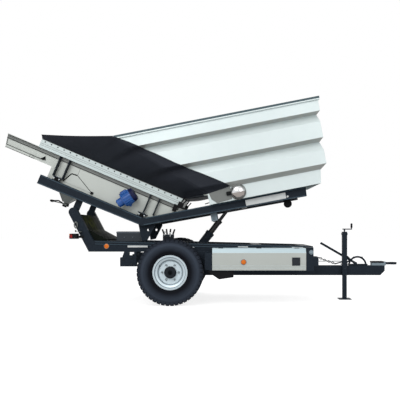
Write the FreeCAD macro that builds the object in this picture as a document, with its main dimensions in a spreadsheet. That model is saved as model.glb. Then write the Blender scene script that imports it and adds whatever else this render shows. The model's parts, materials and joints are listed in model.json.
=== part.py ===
import FreeCAD, Part
import math
import os

import Sketcher
from FreeCAD import Placement, Rotation, Vector

# Grape trailer: a single-axle chassis whose rear arms carry a V-shaped tipping frame. The frame holds
# a ribbed tub in front, a vibrating trough with a spout behind, and a coated-fabric membrane between.
# Lengths are millimetres, angles degrees. Places are measured from the axle's centre line (x), the
# middle plane (y, left is positive) and the ground (z). The tow eye points to +X.
#
# Three frames are used: GROUND for the chassis, LEVEL for the tipping frame as it lies when the tub
# is level, and TROUGH for what follows the tipping frame's rear arm.

DIMENSIONS = {
    # running gear
    "wheel_radius": 408, "tyre_wide": 280, "track": 1400, "wheel_room": 45, "rim_radius": 213.5,
    "rim_wide": 236, "rim_thick": 6, "tyre_seat": 196, "well_radius": 150, "disc_plane": 52,
    "disc_thick": 10, "tread_drop": 12, "shoulder_drop": 30, "bulge_drop": 108, "lug_count": 30,
    "lug_long": 96, "lug_wide": 44,
    "hub_radius": 76, "hub_long": 92, "cap_wall": 6, "stud_circle": 102.5, "stud_count": 6,
    "stud_radius": 11, "stud_long": 20, "axle_square": 80, "spindle_radius": 24,
    "drum_radius": 138, "drum_wide": 52, "back_plate": 5, "running_gap": 6, "bore_gap": 0.5,
    "spring_span": 1014, "spring_eye_z": 526, "leaf_thick": 9, "leaf_wide": 56, "leaf_count": 4,
    "leaf_step": 0.2, "spring_eye_radius": 26, "spring_pin": 10, "clamp_thick": 14,
    "hanger_thick": 10, "hanger_low": 465, "hanger_back": -664, "hanger_shoulder": 580,
    "hanger_front": 574, "skirt_rear": 300, "skirt_low": 427,
    "window_rear": -552, "window_front": -486, "window_low": 605, "window_high": 648,
    # chassis
    "rail_wide": 70, "rail_bottom": 653, "rail_top_rear": 795, "rail_top_front": 724,
    "rail_front": 1790, "arm_lean": 62.5, "arm_round": 58,
    "hinge_x": -1262, "hinge_z": 1158, "pin_radius": 18, "lug_thick": 20, "side_gap": 5,
    "member_deep": 110, "member_long": 120, "member_rear_x": -940, "member_mid_x": -640,
    "member_front_x": 1080,
    "apron_thick": 5, "apron_crest_z": 933, "apron_toe_x": -847, "apron_toe_z": 808,
    "beam_wide": 120, "beam_bottom": 318, "beam_top": 448, "beam_rear": 370, "beam_front": 2825,
    "beam_chamfer": 60, "post_rear": 1660,
    "eye_centre": 2942, "eye_bore": 25, "eye_radius": 58, "eye_thick": 30, "eye_low": 462,
    "shank_wide": 90, "shank_taper": 0.8, "block_rear": 2656, "block_nose": 2843, "block_tall": 52,
    "cradle_x": 270, "cradle_long": 100, "cradle_bottom": 350, "cradle_plate": 12,
    "cradle_flare": 40, "ram_foot_x": 150, "ram_foot_z": 470, "trunnion_radius": 16,
    "trunnion_long": 17, "ear_thick": 12, "ear_round": 38,
    # hydraulic ram
    "barrel_radius": 56, "barrel_long": 534, "barrel_base": -20, "stage_radius": 38,
    "stage_shown": 205, "stage_long": 555, "rod_radius": 22, "rod_long": 560,
    "rod_eye_radius": 34, "rod_eye_wide": 50, "ram_gap": 1,
    # tipping frame
    "tip_angle": 11, "arm_angle": 34, "bend_x": -398, "bed_z": 912, "tip_rail_wide": 80,
    "tip_rail_deep": 122, "tip_rail_front": 1705, "tip_rail_rear": 1420, "tip_taper": 28,
    "tip_nose_cut": 10, "ram_eye_x": 695, "ram_eye_z": 842,
    "lug_half": 42, "lug_round": 44, "lug_weld": 70,
    "tube_square": 90, "tube_inset": 16, "tip_member_rear_s": -1375, "tip_member_ram_x": 911,
    "tip_member_ram_deep": 100, "tip_member_nose_x": 1611, "tip_member_nose_deep": 90,
    "tip_member_bend_x": -330, "tip_member_bend_deep": 80,
    "horn_rear": -487, "horn_front": -281, "horn_toe": -412, "horn_shoulder_z": 796,
    "horn_low": 628, "horn_hole_x": -377, "horn_hole_z": 753, "horn_hole": 15, "horn_thick": 14,
    "ram_ear_half": 30, "ram_ear_drop": 34, "ram_stub_extra": 6,
    # tub: widths and fronts of its skirt, ribs, waists and rim
    "tub_wall": 5, "tub_rear_top": -527, "tub_rear_low": 463, "tub_mouth_z": 1049,
    "tub_floor_z": 1046, "bearer_long": 70, "tub_low_half": 600, "tub_low_front": 1890,
    "skirt_z": 1083, "skirt_half": 606, "skirt_front": 1919,
    "low_rib_bottom": 1140, "low_rib_top": 1308, "low_rib_half": 690, "low_rib_front": 1990,
    "low_waist_z": 1418, "low_waist_half": 640, "low_waist_front": 1961,
    "mid_rib_bottom": 1458, "mid_rib_top": 1658, "mid_rib_half": 750, "mid_rib_front": 2001,
    "high_waist_z": 1748, "high_waist_half": 706, "high_waist_front": 1977,
    "top_rib_bottom": 1778, "top_rib_top": 1908, "top_rib_half": 812, "top_rib_front": 2011,
    "rim_low": 1914, "rim_top": 1953, "rim_half": 836, "rim_front": 2031,
    "cap_x": 845, "cap_z": 1000, "cap_radius": 80, "cap_dome": 68, "cap_flange": 8, "cap_rise": 58,
    "cap_bar_long": 90, "cap_bar_tall": 40, "cap_bar_thick": 16,
    # trough
    "trough_room": 20, "trough_wall": 4, "trough_rear_s": -1608, "trough_front_s": 360,
    "pan_rear_s": -1362, "strip_low": 322, "strip_high": 428, "strip_thick": 6, "lip_out": 22,
    "lip_thick": 8, "floor_n": 165, "floor_thick": 4, "slot_side": 28, "slot_wide": 14,
    "slot_pitch": 52, "slot_count": 29, "slot_rear": 60,
    "spout_inset": 35, "spout_floor_n": 147, "spout_tip_top_s": -2060, "spout_tip_low_s": -2024,
    "flange_tall": 38, "flange_thick": 8, "flange_front_s": -1690,
    "mount_radius": 30, "mount_tall": 46, "foot_thick": 8,
    "mount_rear_s": -1219, "mount_front_s": -40, "bracket_apart": 128, "bracket_plate": 10,
    "bracket_low": 75, "front_plate_s": -36,
    "gusset_rear_s": -1152, "gusset_crown_s": -1086, "gusset_brow_s": -1009, "gusset_toe_s": -745,
    "gusset_low_n": 28, "gusset_crown_n": 161, "gusset_brow_n": 168, "gusset_thick": 4,
    "motor_radius": 76, "motor_long": 220, "motor_s": -330, "motor_n": 190, "motor_y": 560,
    "motor_tilt": 41, "motor_foot": 55, "fin_count": 3,
    "sump_top_half": 200, "sump_low_half": 36, "sump_deep": 240, "sump_s": -1125,
    "spigot_radius": 24, "spigot_long": 50, "valve_half": 30, "handle_long": 150,
    "handle_thick": 12, "handle_drop": 26, "handle_knob": 16,
    # membrane
    "cloth_thick": 6, "cloth_rise": 55, "cloth_gap": 1, "cloth_fold": 0.3,
    # fittings
    "box_rear": 515, "box_front": 1672, "box_bottom": 432, "box_top": 704, "box_out": 760,
    "box_bevel_z": 647, "box_bevel_in": 24, "cover_thick": 3,
    "body_rear": 424, "body_lift": 20, "block_low": 424, "block_high": 714,
    "head_long": 91, "step_long": 153, "step_low": 487, "step_high": 598,
    "deck_rear": -728, "deck_front": -421, "deck_tall": 125, "deck_y": -260, "deck_wide": 300,
    "bank_rear": -114, "bank_front": 25, "bank_low": 756, "bank_high": 874, "bank_deep": 38,
    "bank_stand": 14, "bank_foot": 700, "lever_tall": 68, "lever_radius": 6, "bank_levers": 4,
    "lever_fan": 14,
    "lamp_x": -1278, "lamp_long": 92, "lamp_z": 818, "lamp_tall": 66, "lamp_wide": 90,
    "lamp_plate": 5, "lamp_arm_long": 60, "lamp_arm_low": 10, "lamp_arm_high": 40,
    "chock_long": 330, "chock_x": 448, "seat_gap": 0.3, "chock_wide": 150, "chock_tall": 104,
    "chock_nose": 150, "chock_rise": 26, "chock_inset": 20,
    "jack_x": 2275, "jack_tube": 62, "jack_wall": 4, "jack_low": 330, "jack_top": 887,
    "jack_leg_top": 560, "foot_wide": 160, "plate_thick": 10, "head_tall": 18, "neck_tall": 28,
    "neck_radius": 10, "crank_radius": 7, "crank_reach": 95, "crank_back": 26, "crank_top": 1018,
    "brake_x": 2451, "brake_z": 474, "arc_x": 2472, "arc_radius": 122, "arc_bar": 14,
    "arc_thick": 12, "brake_y": 10, "handle_reach": 560, "handle_lean": 150, "handle_wide": 30,
    "handle_flat": 12,
    "brake_rod_radius": 6, "brake_rod_y": 80, "brake_rod_z": 500, "brake_rod_short": 150,
}

doc = FreeCAD.newDocument("GrapeTrailer")
sheet = doc.addObject("Spreadsheet::Sheet", "Sizes")
for row, (alias, number) in enumerate(DIMENSIONS.items(), start=1):
    sheet.set(f"A{row}", alias.replace("_", " "))
    sheet.set(f"B{row}", str(number))
    sheet.setAlias(f"B{row}", alias)
doc.recompute()


class Size:
    """A number together with the expression that gives it, so that one formula serves both."""

    def __init__(self, text, value):
        self.text = text
        self.value = value

    def __add__(self, other):
        other = as_size(other)
        return Size(f"({self.text} + {other.text})", self.value + other.value)

    def __sub__(self, other):
        other = as_size(other)
        return Size(f"({self.text} - {other.text})", self.value - other.value)

    def __mul__(self, other):
        other = as_size(other)
        return Size(f"({self.text} * {other.text})", self.value * other.value)

    def __truediv__(self, other):
        other = as_size(other)
        return Size(f"({self.text} / {other.text})", self.value / other.value)

    def __neg__(self):
        return Size(f"(0 - {self.text})", -self.value)

    def __radd__(self, other):
        return as_size(other) + self

    def __rsub__(self, other):
        return as_size(other) - self

    def __rmul__(self, other):
        return as_size(other) * self


def as_size(thing):
    if isinstance(thing, Size):
        return thing
    return Size(f"({float(thing)})", float(thing))


def sine(angle):
    return Size(f"sin({angle.text})", math.sin(math.radians(angle.value)))


def cosine(angle):
    return Size(f"cos({angle.text})", math.cos(math.radians(angle.value)))


class SheetSizes:
    """Gives each aliased cell of the sheet as a Size."""

    def __getattr__(self, alias):
        return Size(f"Sizes.{alias}", float(sheet.get(alias)))


S = SheetSizes()


# ---------------------------------------------------------------- frames


class Frame:
    """A place in the middle plane and a turn about +Y that a sub-part is seated with."""

    def __init__(self, x, z, pitch):
        self.x = as_size(x)
        self.z = as_size(z)
        self.pitch = as_size(pitch)

    def point(self, x, z):
        """The point (x, z) of this frame, seen from the frame that this one stands in."""
        x, z = as_size(x), as_size(z)
        across = self.x + x * cosine(self.pitch) + z * sine(self.pitch)
        up = self.z - x * sine(self.pitch) + z * cosine(self.pitch)
        return across, up

    def inside(self, outer):
        """This frame, given in outer, seen from where outer stands."""
        x, z = outer.point(self.x, self.z)
        return Frame(x, z, outer.pitch + self.pitch)


def turned_about(x, z, angle):
    """The frame that turns everything by angle, nose up, about the point (x, z)."""
    across = x - x * cosine(angle) + z * sine(angle)
    up = z - x * sine(angle) - z * cosine(angle)
    return Frame(across, up, -angle)


TIPPED = turned_about(S.hinge_x, S.hinge_z, S.tip_angle)
REAR_ARM = Frame(S.bend_x, S.bed_z, S.arm_angle).inside(TIPPED)
lip_x, lip_z = REAR_ARM.point(S.spout_tip_top_s, S.strip_low)
eye_front = S.eye_centre + S.eye_radius
# The origin lies half-way between the spout's lip and the front of the tow eye.
STAND = Frame(-(eye_front + lip_x) / 2, 0, 0)

GROUND = STAND
LEVEL = TIPPED.inside(STAND)
TROUGH = REAR_ARM.inside(STAND)
RAM_EYE = TIPPED.point(S.ram_eye_x, S.ram_eye_z)

nodes = []


def bind(thing, path, size):
    thing.setExpression(path, as_size(size).text)


def seat(thing, frame=None, y=0, node=True):
    """Places a sub-part in its frame and lists it for export."""
    frame = frame or GROUND
    thing.Placement = Placement(Vector(0, 0, 0), Rotation(Vector(0, 1, 0), 10))
    bind(thing, "Placement.Rotation.Angle", frame.pitch)
    bind(thing, "Placement.Base.x", frame.x)
    bind(thing, "Placement.Base.y", y)
    bind(thing, "Placement.Base.z", frame.z)
    if node:
        nodes.append(thing)
    return thing


# ---------------------------------------------------------------- makers


def new_body(label):
    body = doc.addObject("PartDesign::Body", label)
    body.Label = label
    return body


def sketch_on(body, plane, lift=None):
    sketch = body.newObject("Sketcher::SketchObject", body.Name + "_sketch")
    plane_feature = next(part for part in body.Origin.OriginFeatures if part.Role == plane)
    sketch.AttachmentSupport = [(plane_feature, "")]
    sketch.MapMode = "FlatFace"
    if lift is not None:
        bind(sketch, "AttachmentOffset.Base.z", lift)
    return sketch


def outline(sketch, points):
    """Adds one closed outline whose corners are bound to the sheet."""
    first = sketch.GeometryCount
    count = len(points)
    corners = [(as_size(x), as_size(y)) for x, y in points]
    for index, (x, y) in enumerate(corners):
        end_x, end_y = corners[(index + 1) % count]
        line = Part.LineSegment(Vector(x.value, y.value, 0), Vector(end_x.value, end_y.value, 0))
        sketch.addGeometry(line, False)
    for index, (x, y) in enumerate(corners):
        edge = first + index
        after = first + (index + 1) % count
        sketch.addConstraint(Sketcher.Constraint("Coincident", edge, 2, after, 1))
        for kind, size in (("DistanceX", x), ("DistanceY", y)):
            number = sketch.addConstraint(Sketcher.Constraint(kind, -1, 1, edge, 1, size.value))
            bind(sketch, f"Constraints[{number}]", size)
    return sketch


def ring(sketch, x, y, radius):
    """Adds a circle whose centre and radius are bound to the sheet."""
    x, y, radius = as_size(x), as_size(y), as_size(radius)
    place = Vector(x.value, y.value, 0)
    edge = sketch.addGeometry(Part.Circle(place, Vector(0, 0, 1), radius.value), False)
    for kind, size in (("DistanceX", x), ("DistanceY", y)):
        number = sketch.addConstraint(Sketcher.Constraint(kind, -1, 1, edge, 3, size.value))
        bind(sketch, f"Constraints[{number}]", size)
    number = sketch.addConstraint(Sketcher.Constraint("Radius", edge, radius.value))
    bind(sketch, f"Constraints[{number}]", radius)
    return sketch


def pad(body, sketch, length, name="pad", symmetric=True, reverse=False):
    feature = body.newObject("PartDesign::Pad", f"{body.Name}_{name}")
    feature.Profile = sketch
    feature.SideType = "Symmetric" if symmetric else "One side"
    feature.Reversed = reverse
    bind(feature, "Length", length)
    return feature


def pocket(body, sketch, length=None, name="cut", symmetric=True, reverse=False):
    feature = body.newObject("PartDesign::Pocket", f"{body.Name}_{name}")
    feature.Profile = sketch
    feature.SideType = "Symmetric" if symmetric else "One side"
    feature.Reversed = reverse
    if length is None:
        feature.Type = "ThroughAll"
    else:
        bind(feature, "Length", length)
    return feature


def plate(label, points, thick, holes=(), plane="XZ_Plane", lift=None):
    """A body of one outline, padded to both sides of its plane, with round holes."""
    body = new_body(label)
    sketch = outline(sketch_on(body, plane, lift), points)
    for hole in holes:
        ring(sketch, *hole)
    pad(body, sketch, thick)
    return body


def turned(label, points, axis="V_Axis", plane="XZ_Plane"):
    """A body turned about an axis of its sketch."""
    body = new_body(label)
    sketch = outline(sketch_on(body, plane), points)
    feature = body.newObject("PartDesign::Revolution", label + "_turn")
    feature.Profile = sketch
    feature.ReferenceAxis = (sketch, [axis])
    feature.Angle = 360
    return body


def block(label, x, y, z):
    """A box between pairs of places along x, y and z."""
    box = doc.addObject("Part::Box", label)
    box.Label = label
    for name, axis, (low, high) in (("Length", "x", x), ("Width", "y", y), ("Height", "z", z)):
        bind(box, name, as_size(high) - as_size(low))
        bind(box, f"Placement.Base.{axis}", low)
    return box


AXES = {"x": Rotation(Vector(0, 1, 0), 90), "y": Rotation(Vector(1, 0, 0), -90), "z": Rotation()}


def bar(label, radius, length, place, along="y"):
    """A round bar that starts at place and runs along one axis."""
    rod = doc.addObject("Part::Cylinder", label)
    rod.Label = label
    rod.Placement = Placement(Vector(0, 0, 0), AXES[along])
    bind(rod, "Radius", radius)
    bind(rod, "Height", length)
    for axis, size in zip("xyz", place):
        bind(rod, f"Placement.Base.{axis}", size)
    return rod


def at(thing, x=0, y=0, z=0):
    for axis, size in (("x", x), ("y", y), ("z", z)):
        bind(thing, f"Placement.Base.{axis}", size)
    return thing


def joined(label, pieces, kind="Part::MultiFuse"):
    """One sub-part welded from several pieces."""
    whole = doc.addObject(kind, label)
    whole.Label = label
    if kind == "Part::Compound":
        whole.Links = pieces
    else:
        whole.Shapes = pieces
    return whole


def cut(label, base, tool):
    whole = doc.addObject("Part::Cut", label)
    whole.Label = label
    whole.Base = base
    whole.Tool = tool
    return whole


def made(label, shape):
    """A sub-part whose shape is worked out here from the sheet's sizes."""
    feature = doc.addObject("Part::Feature", label)
    feature.Label = label
    feature.Shape = shape
    return feature


SIDES = (("right", -1), ("left", 1))


# ---------------------------------------------------------------- chassis

rail_mid = S.track / 2 - S.tyre_wide / 2 - S.wheel_room - S.rail_wide / 2
rail_in = rail_mid - S.rail_wide / 2
rail_out = rail_mid + S.rail_wide / 2
lean_x, lean_z = sine(S.arm_lean), cosine(S.arm_lean)


def arm_edge(side, z):
    """Where the rear (-1) or front (1) edge of the leaning arm is at height z."""
    return S.hinge_x + S.arm_round * side / lean_x + (S.hinge_z - z) * lean_z / lean_x


rail_rear = arm_edge(1, S.rail_top_rear)


def rail_top(x):
    """Height of the rail's top edge at x, which falls slightly towards the nose."""
    slope = (S.rail_top_front - S.rail_top_rear) / (S.rail_front - rail_rear)
    return S.rail_top_rear + (as_size(x) - rail_rear) * slope


cheek_in = S.leaf_wide / 2 + S.bore_gap
cheek_out = cheek_in + S.hanger_thick


def hanger(label, outlines, eye_x, holes=()):
    """Two cheeks under the rail that hold a spring's eye between them."""
    cheeks = []
    for name, way in (("out", 1), ("in", -1)):
        cheek = plate(f"{label}_{name}", outlines, S.hanger_thick,
                      [(eye_x, S.spring_eye_z, S.spring_pin + S.bore_gap)])
        if holes:
            pocket(cheek, outline(sketch_on(cheek, "XZ_Plane"), holes), None, "window")
        cheeks.append(at(cheek, y=(cheek_in + S.hanger_thick / 2) * way))
    return cheeks


def chassis_rail(side, sign):
    """Side rail that bends up into the leaning arm, whose round end carries the tipping hinge."""
    out_x, out_z = S.arm_round * lean_x, S.arm_round * lean_z
    beam = plate(f"rail_{side}_beam", [
        (arm_edge(-1, S.rail_bottom), S.rail_bottom), (S.hinge_x - out_x, S.hinge_z - out_z),
        (S.hinge_x + out_x, S.hinge_z + out_z), (rail_rear, S.rail_top_rear),
        (S.rail_front, S.rail_top_front), (S.rail_front, S.rail_bottom),
    ], S.rail_wide)
    crown = ring(sketch_on(beam, "XZ_Plane"), S.hinge_x, S.hinge_z, S.arm_round)
    pad(beam, crown, S.rail_wide, "crown")
    bore = ring(sketch_on(beam, "XZ_Plane"), S.hinge_x, S.hinge_z, S.pin_radius + S.bore_gap)
    pocket(beam, bore, None, "bore")
    half_span = S.spring_span / 2
    rear = hanger(f"hanger_rear_{side}", [
        (S.hanger_back + S.spring_eye_radius * 2, S.rail_bottom),
        (S.hanger_back + S.spring_eye_radius, S.hanger_shoulder), (S.hanger_back, S.hanger_shoulder),
        (S.hanger_back, S.hanger_low), (-half_span + S.spring_eye_radius * 2, S.hanger_low),
        (-half_span + S.spring_eye_radius * 2, S.rail_bottom),
    ], -half_span, [
        (S.window_rear, S.window_low), (S.window_front, S.window_low),
        (S.window_front, S.window_high), (S.window_rear, S.window_high),
    ])
    front = hanger(f"hanger_front_{side}", [
        (S.skirt_rear, S.rail_bottom), (S.skirt_rear, S.skirt_low), (S.hanger_front, S.skirt_low),
        (S.hanger_front, S.rail_bottom),
    ], half_span)
    return seat(joined(f"rail_{side}", [beam] + rear + front), y=rail_mid * sign)


for side, sign in SIDES:
    chassis_rail(side, sign)


def member(label, x):
    low = rail_top(x + S.member_long / 2) - S.member_deep
    high = rail_top(x + S.member_long / 2)
    half = S.member_long / 2
    outlines = [(x - half, low), (x + half, low), (x + half, high), (x - half, high)]
    return seat(plate(label, outlines, rail_in * 2))


member("cross_member_rear", S.member_rear_x)
member("cross_member_mid", S.member_mid_x)
member("cross_member_front", S.member_front_x)


def rear_apron():
    """Folded sheet that runs down between the rear arms and out over the rails, with end gussets."""
    thick = S.apron_thick
    top_z = S.hinge_z - S.arm_round / 2
    top_x, crest_x = arm_edge(1, top_z), arm_edge(1, S.apron_crest_z)
    sheet_fold = plate("apron_sheet", [
        (top_x, top_z), (crest_x, S.apron_crest_z), (S.apron_toe_x, S.apron_toe_z),
        (S.apron_toe_x, S.apron_toe_z - thick), (crest_x - thick, S.apron_crest_z - thick),
        (top_x - thick, top_z - thick),
    ], rail_in * 2)
    pieces = [sheet_fold]
    for side, sign in SIDES:
        gusset = plate(f"apron_gusset_{side}", [
            (crest_x - thick, S.apron_crest_z - thick), (S.apron_toe_x, S.apron_toe_z - thick),
            (S.apron_toe_x, rail_top(S.apron_toe_x)), (rail_rear - thick, S.rail_top_rear),
        ], thick)
        pieces.append(at(gusset, y=(rail_in - thick / 2) * sign))
    return seat(joined("rear_apron", pieces))


rear_apron()


def drawbar():
    """The long beam under the chassis, with the post that ties it to the rails' nose."""
    beam = plate("drawbar_beam", [
        (S.beam_rear, S.beam_bottom), (S.beam_front - S.beam_chamfer, S.beam_bottom),
        (S.beam_front, S.beam_bottom + S.beam_chamfer), (S.beam_front, S.beam_top),
        (S.beam_rear, S.beam_top),
    ], S.beam_wide)
    post = plate("drawbar_post", [
        (S.post_rear, S.beam_top), (S.rail_front, S.beam_top), (S.rail_front, S.rail_bottom),
        (S.post_rear, S.rail_bottom),
    ], S.beam_wide)
    nose = plate("drawbar_nose", [
        (S.post_rear, S.rail_bottom), (S.rail_front, S.rail_bottom), (S.rail_front, S.rail_top_front),
        (S.post_rear, S.rail_top_front),
    ], rail_in * 2)
    return seat(joined("drawbar", [beam, post, nose]))


drawbar()


def tow_eye():
    """Flat ring whose shank is held in a block on the front of the drawbar."""
    body = new_body("tow_eye")
    sketch = sketch_on(body, "XY_Plane", S.eye_low)
    ring(sketch, S.eye_centre, 0, S.eye_radius)
    ring(sketch, S.eye_centre, 0, S.eye_bore)
    pad(body, sketch, S.eye_thick, symmetric=False)
    shank = sketch_on(body, "XY_Plane", S.eye_low)
    start = S.eye_centre - S.eye_radius + (S.eye_radius - S.eye_bore) / 2
    half = S.shank_wide / 2
    outline(shank, [
        (start, half * S.shank_taper), (S.block_nose, half), (S.block_nose, -half),
        (start, -half * S.shank_taper),
    ])
    pad(body, shank, S.eye_thick, "shank", symmetric=False)
    seat(body)
    seat(plate("tow_block", [
        (S.block_rear, S.beam_top), (S.block_nose, S.beam_top),
        (S.block_nose, S.beam_top + S.block_tall), (S.block_rear, S.beam_top + S.block_tall),
    ], S.shank_wide))


tow_eye()


def ram_cradle():
    """Cross tube hung from the rails by two drop plates, with the ears of the ram's trunnions."""
    front = S.cradle_x + S.cradle_long
    reach = rail_mid - cheek_out
    tube = block("cradle_tube", (S.cradle_x, front), (-reach, reach),
                 (S.cradle_bottom, S.beam_top))
    pieces = [tube]
    inside_ear = S.barrel_radius + S.side_gap
    for side, sign in SIDES:
        ear = plate(f"cradle_ear_{side}", [
            (S.ram_foot_x - S.ear_round, S.ram_foot_z - S.ear_round * 0.6),
            (S.ram_foot_x - S.ear_round * 0.6, S.ram_foot_z - S.ear_round),
            (S.cradle_x, S.cradle_bottom), (front, S.cradle_bottom), (front, S.beam_top),
            (S.ram_foot_x + S.ear_round, S.ram_foot_z + S.ear_round * 0.8),
            (S.ram_foot_x - S.ear_round * 0.6, S.ram_foot_z + S.ear_round),
            (S.ram_foot_x - S.ear_round, S.ram_foot_z + S.ear_round * 0.6),
        ], S.ear_thick, [(S.ram_foot_x, S.ram_foot_z, S.trunnion_radius + S.bore_gap)])
        at(ear, y=(inside_ear + S.ear_thick / 2) * sign)
        drop = plate(f"cradle_drop_{side}", [
            (S.cradle_x, S.cradle_bottom), (front, S.cradle_bottom),
            (front + S.cradle_flare, rail_top(front + S.cradle_flare)),
            (S.cradle_x - S.cradle_flare, rail_top(front + S.cradle_flare)),
        ], S.cradle_plate)
        at(drop, y=(reach - S.cradle_plate / 2) * sign)
        pieces += [ear, drop]
    return seat(joined("ram_cradle", pieces))


ram_cradle()


# ---------------------------------------------------------------- axle, springs and wheels

hub_face = S.track / 2 - S.tyre_wide / 2


def axle():
    """Square beam with a brake drum's back plate and a spindle at each end."""
    half = S.axle_square / 2
    inner = hub_face - S.running_gap
    beam = block("axle_square_beam", (-half, half), (-inner, inner),
                 (S.wheel_radius - half, S.wheel_radius + half))
    pieces = [beam]
    reach = S.track / 2 + S.disc_plane + S.hub_long * 0.6 - S.cap_wall - S.side_gap - inner
    for side, sign in SIDES:
        pieces.append(bar(f"spindle_{side}", S.spindle_radius, reach,
                          (0, inner if sign > 0 else -inner - reach, S.wheel_radius)))
        pieces.append(bar(f"back_plate_{side}", S.drum_radius + S.side_gap, S.back_plate,
                          (0, inner - S.back_plate if sign > 0 else -inner, S.wheel_radius)))
    return seat(joined("axle_beam", pieces))


axle()


def leaf_spring(side, sign):
    """Leaves that sag from eye to eye and lie on the axle."""
    span = S.spring_span.value
    seat_z = (S.wheel_radius + S.axle_square / 2).value
    pack = S.leaf_thick.value * int(S.leaf_count.value)
    width = S.leaf_wide.value
    sag = S.spring_eye_z.value - seat_z - pack + S.leaf_thick.value / 2
    radius = (span * span / 4 + sag * sag) / (2 * sag)
    centre_z = seat_z + pack - S.leaf_thick.value + radius
    shape = None
    for index in range(int(S.leaf_count.value)):
        reach = span / 2 * (1 - S.leaf_step.value * index)
        inner = radius + index * S.leaf_thick.value - S.leaf_thick.value
        outer = inner + S.leaf_thick.value
        angle = math.asin(reach / outer)

        def on(r, turn):
            return Vector(r * math.sin(turn), -width / 2, centre_z - r * math.cos(turn))

        arcs = [
            Part.Arc(on(outer, -angle), on(outer, 0), on(outer, angle)).toShape(),
            Part.makeLine(on(outer, angle), on(inner, angle)),
            Part.Arc(on(inner, angle), on(inner, 0), on(inner, -angle)).toShape(),
            Part.makeLine(on(inner, -angle), on(outer, -angle)),
        ]
        leaf = Part.Face(Part.Wire(arcs)).extrude(Vector(0, width, 0))
        shape = leaf if shape is None else shape.fuse(leaf)
    eye_z = S.spring_eye_z.value
    for end in (-1, 1):
        eye = Part.makeCylinder(S.spring_eye_radius.value, width,
                                Vector(end * span / 2, -width / 2, eye_z), Vector(0, 1, 0))
        pin_half = (cheek_out - S.bore_gap).value
        pin = Part.makeCylinder(S.spring_pin.value, pin_half * 2,
                                Vector(end * span / 2, -pin_half, eye_z), Vector(0, 1, 0))
        shape = shape.fuse(eye).fuse(pin)
    half = S.axle_square.value / 2
    clamp_half = width / 2 + S.hanger_thick.value
    clamp = Part.makeBox(half * 2, clamp_half * 2, S.clamp_thick.value,
                         Vector(-half, -clamp_half, seat_z + pack))
    shape = shape.fuse(clamp).removeSplitter()
    return seat(made(f"leaf_spring_{side}", shape), y=rail_mid * sign)


for side, sign in SIDES:
    leaf_spring(side, sign)


def tyre(side, sign):
    """Turned carcass with a row of lugs on each shoulder, patterned about the wheel's axis."""
    half = S.tyre_wide / 2
    edge = S.rim_wide / 2 - S.rim_thick
    crown, bulge = S.wheel_radius - S.tread_drop, S.wheel_radius - S.bulge_drop
    carcass = turned(f"carcass_{side}", [
        (-edge, S.tyre_seat), (-edge, S.rim_radius), (-half, bulge), (-half + S.lug_wide, crown),
        (half - S.lug_wide, crown), (half, bulge), (edge, S.rim_radius), (edge, S.tyre_seat),
    ], "H_Axis", "YZ_Plane")
    count = int(S.lug_count.value)
    long, wide = S.lug_long.value, S.lug_wide.value
    top = math.hypot(S.wheel_radius.value, wide / 2) - wide * wide / 4 / S.wheel_radius.value
    foot = top - S.shoulder_drop.value
    lugs = []
    for index in range(count * 2):
        low_y = half.value - long if index % 2 else -half.value
        lug = Part.makeBox(wide, long, top - foot, Vector(-wide / 2, low_y, foot))
        lug.rotate(Vector(0, 0, 0), Vector(0, 1, 0), 180 * index / count)
        lugs.append(lug)
    tread = made(f"tread_{side}", lugs[0].multiFuse(lugs[1:]))
    seat(joined(f"tyre_{side}", [carcass, tread]), Frame(GROUND.x, S.wheel_radius, 0),
         y=S.track / 2 * sign)


def rim(side, sign):
    """Dished disc wheel with its studs."""
    edge, thick = S.rim_wide / 2, S.rim_thick
    seat_in = S.tyre_seat - thick
    plane = S.disc_plane
    profile = [
        (edge, S.rim_radius), (edge, seat_in), (edge - thick * 5, seat_in - thick),
        (edge - thick * 7, S.well_radius), (plane + thick, S.well_radius - thick),
        (plane, S.well_radius - thick * 2), (plane, S.hub_radius - thick),
        (plane - S.disc_thick, S.hub_radius - thick), (plane - S.disc_thick, S.well_radius),
        (-edge + thick * 8, S.well_radius + thick), (-edge + thick * 5, seat_in - thick),
        (-edge, seat_in), (-edge, S.rim_radius), (-edge + thick, S.rim_radius),
        (-edge + thick, S.tyre_seat), (edge - thick, S.tyre_seat), (edge - thick, S.rim_radius),
    ]
    dish = turned(f"dish_{side}", [(y * sign, radius) for y, radius in profile],
                  "H_Axis", "YZ_Plane")
    pieces = [dish]
    start = plane if sign > 0 else -plane - S.stud_long
    for index in range(int(S.stud_count.value)):
        turn = Size(f"({index} * 360 / Sizes.stud_count)", index * 360 / S.stud_count.value)
        pieces.append(bar(f"stud_{side}_{index}", S.stud_radius, S.stud_long,
                          (S.stud_circle * cosine(turn), start, S.stud_circle * sine(turn))))
    seat(joined(f"rim_{side}", pieces), Frame(GROUND.x, S.wheel_radius, 0), y=S.track / 2 * sign)


def hub(side, sign):
    """Hub with its brake drum and a closed cap, turned about the axle's line."""
    bore = S.spindle_radius + S.bore_gap
    face = S.disc_plane + S.hub_long * 0.6
    inner = S.running_gap - S.tyre_wide / 2
    profile = [
        (inner, bore), (inner, S.drum_radius), (inner + S.drum_wide, S.drum_radius),
        (inner + S.drum_wide, S.hub_radius - S.rim_thick),
        (face - S.cap_wall * 2, S.hub_radius - S.rim_thick), (face, S.hub_radius - S.cap_wall * 3),
        (face, 0), (face - S.cap_wall, 0), (face - S.cap_wall, bore),
    ]
    shell = turned(f"hub_{side}", [(y * sign, radius) for y, radius in profile],
                   "H_Axis", "YZ_Plane")
    seat(shell, Frame(GROUND.x, S.wheel_radius, 0), y=S.track / 2 * sign)


for side, sign in SIDES:
    tyre(side, sign)
    rim(side, sign)
    hub(side, sign)


# ---------------------------------------------------------------- tipping frame

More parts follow.
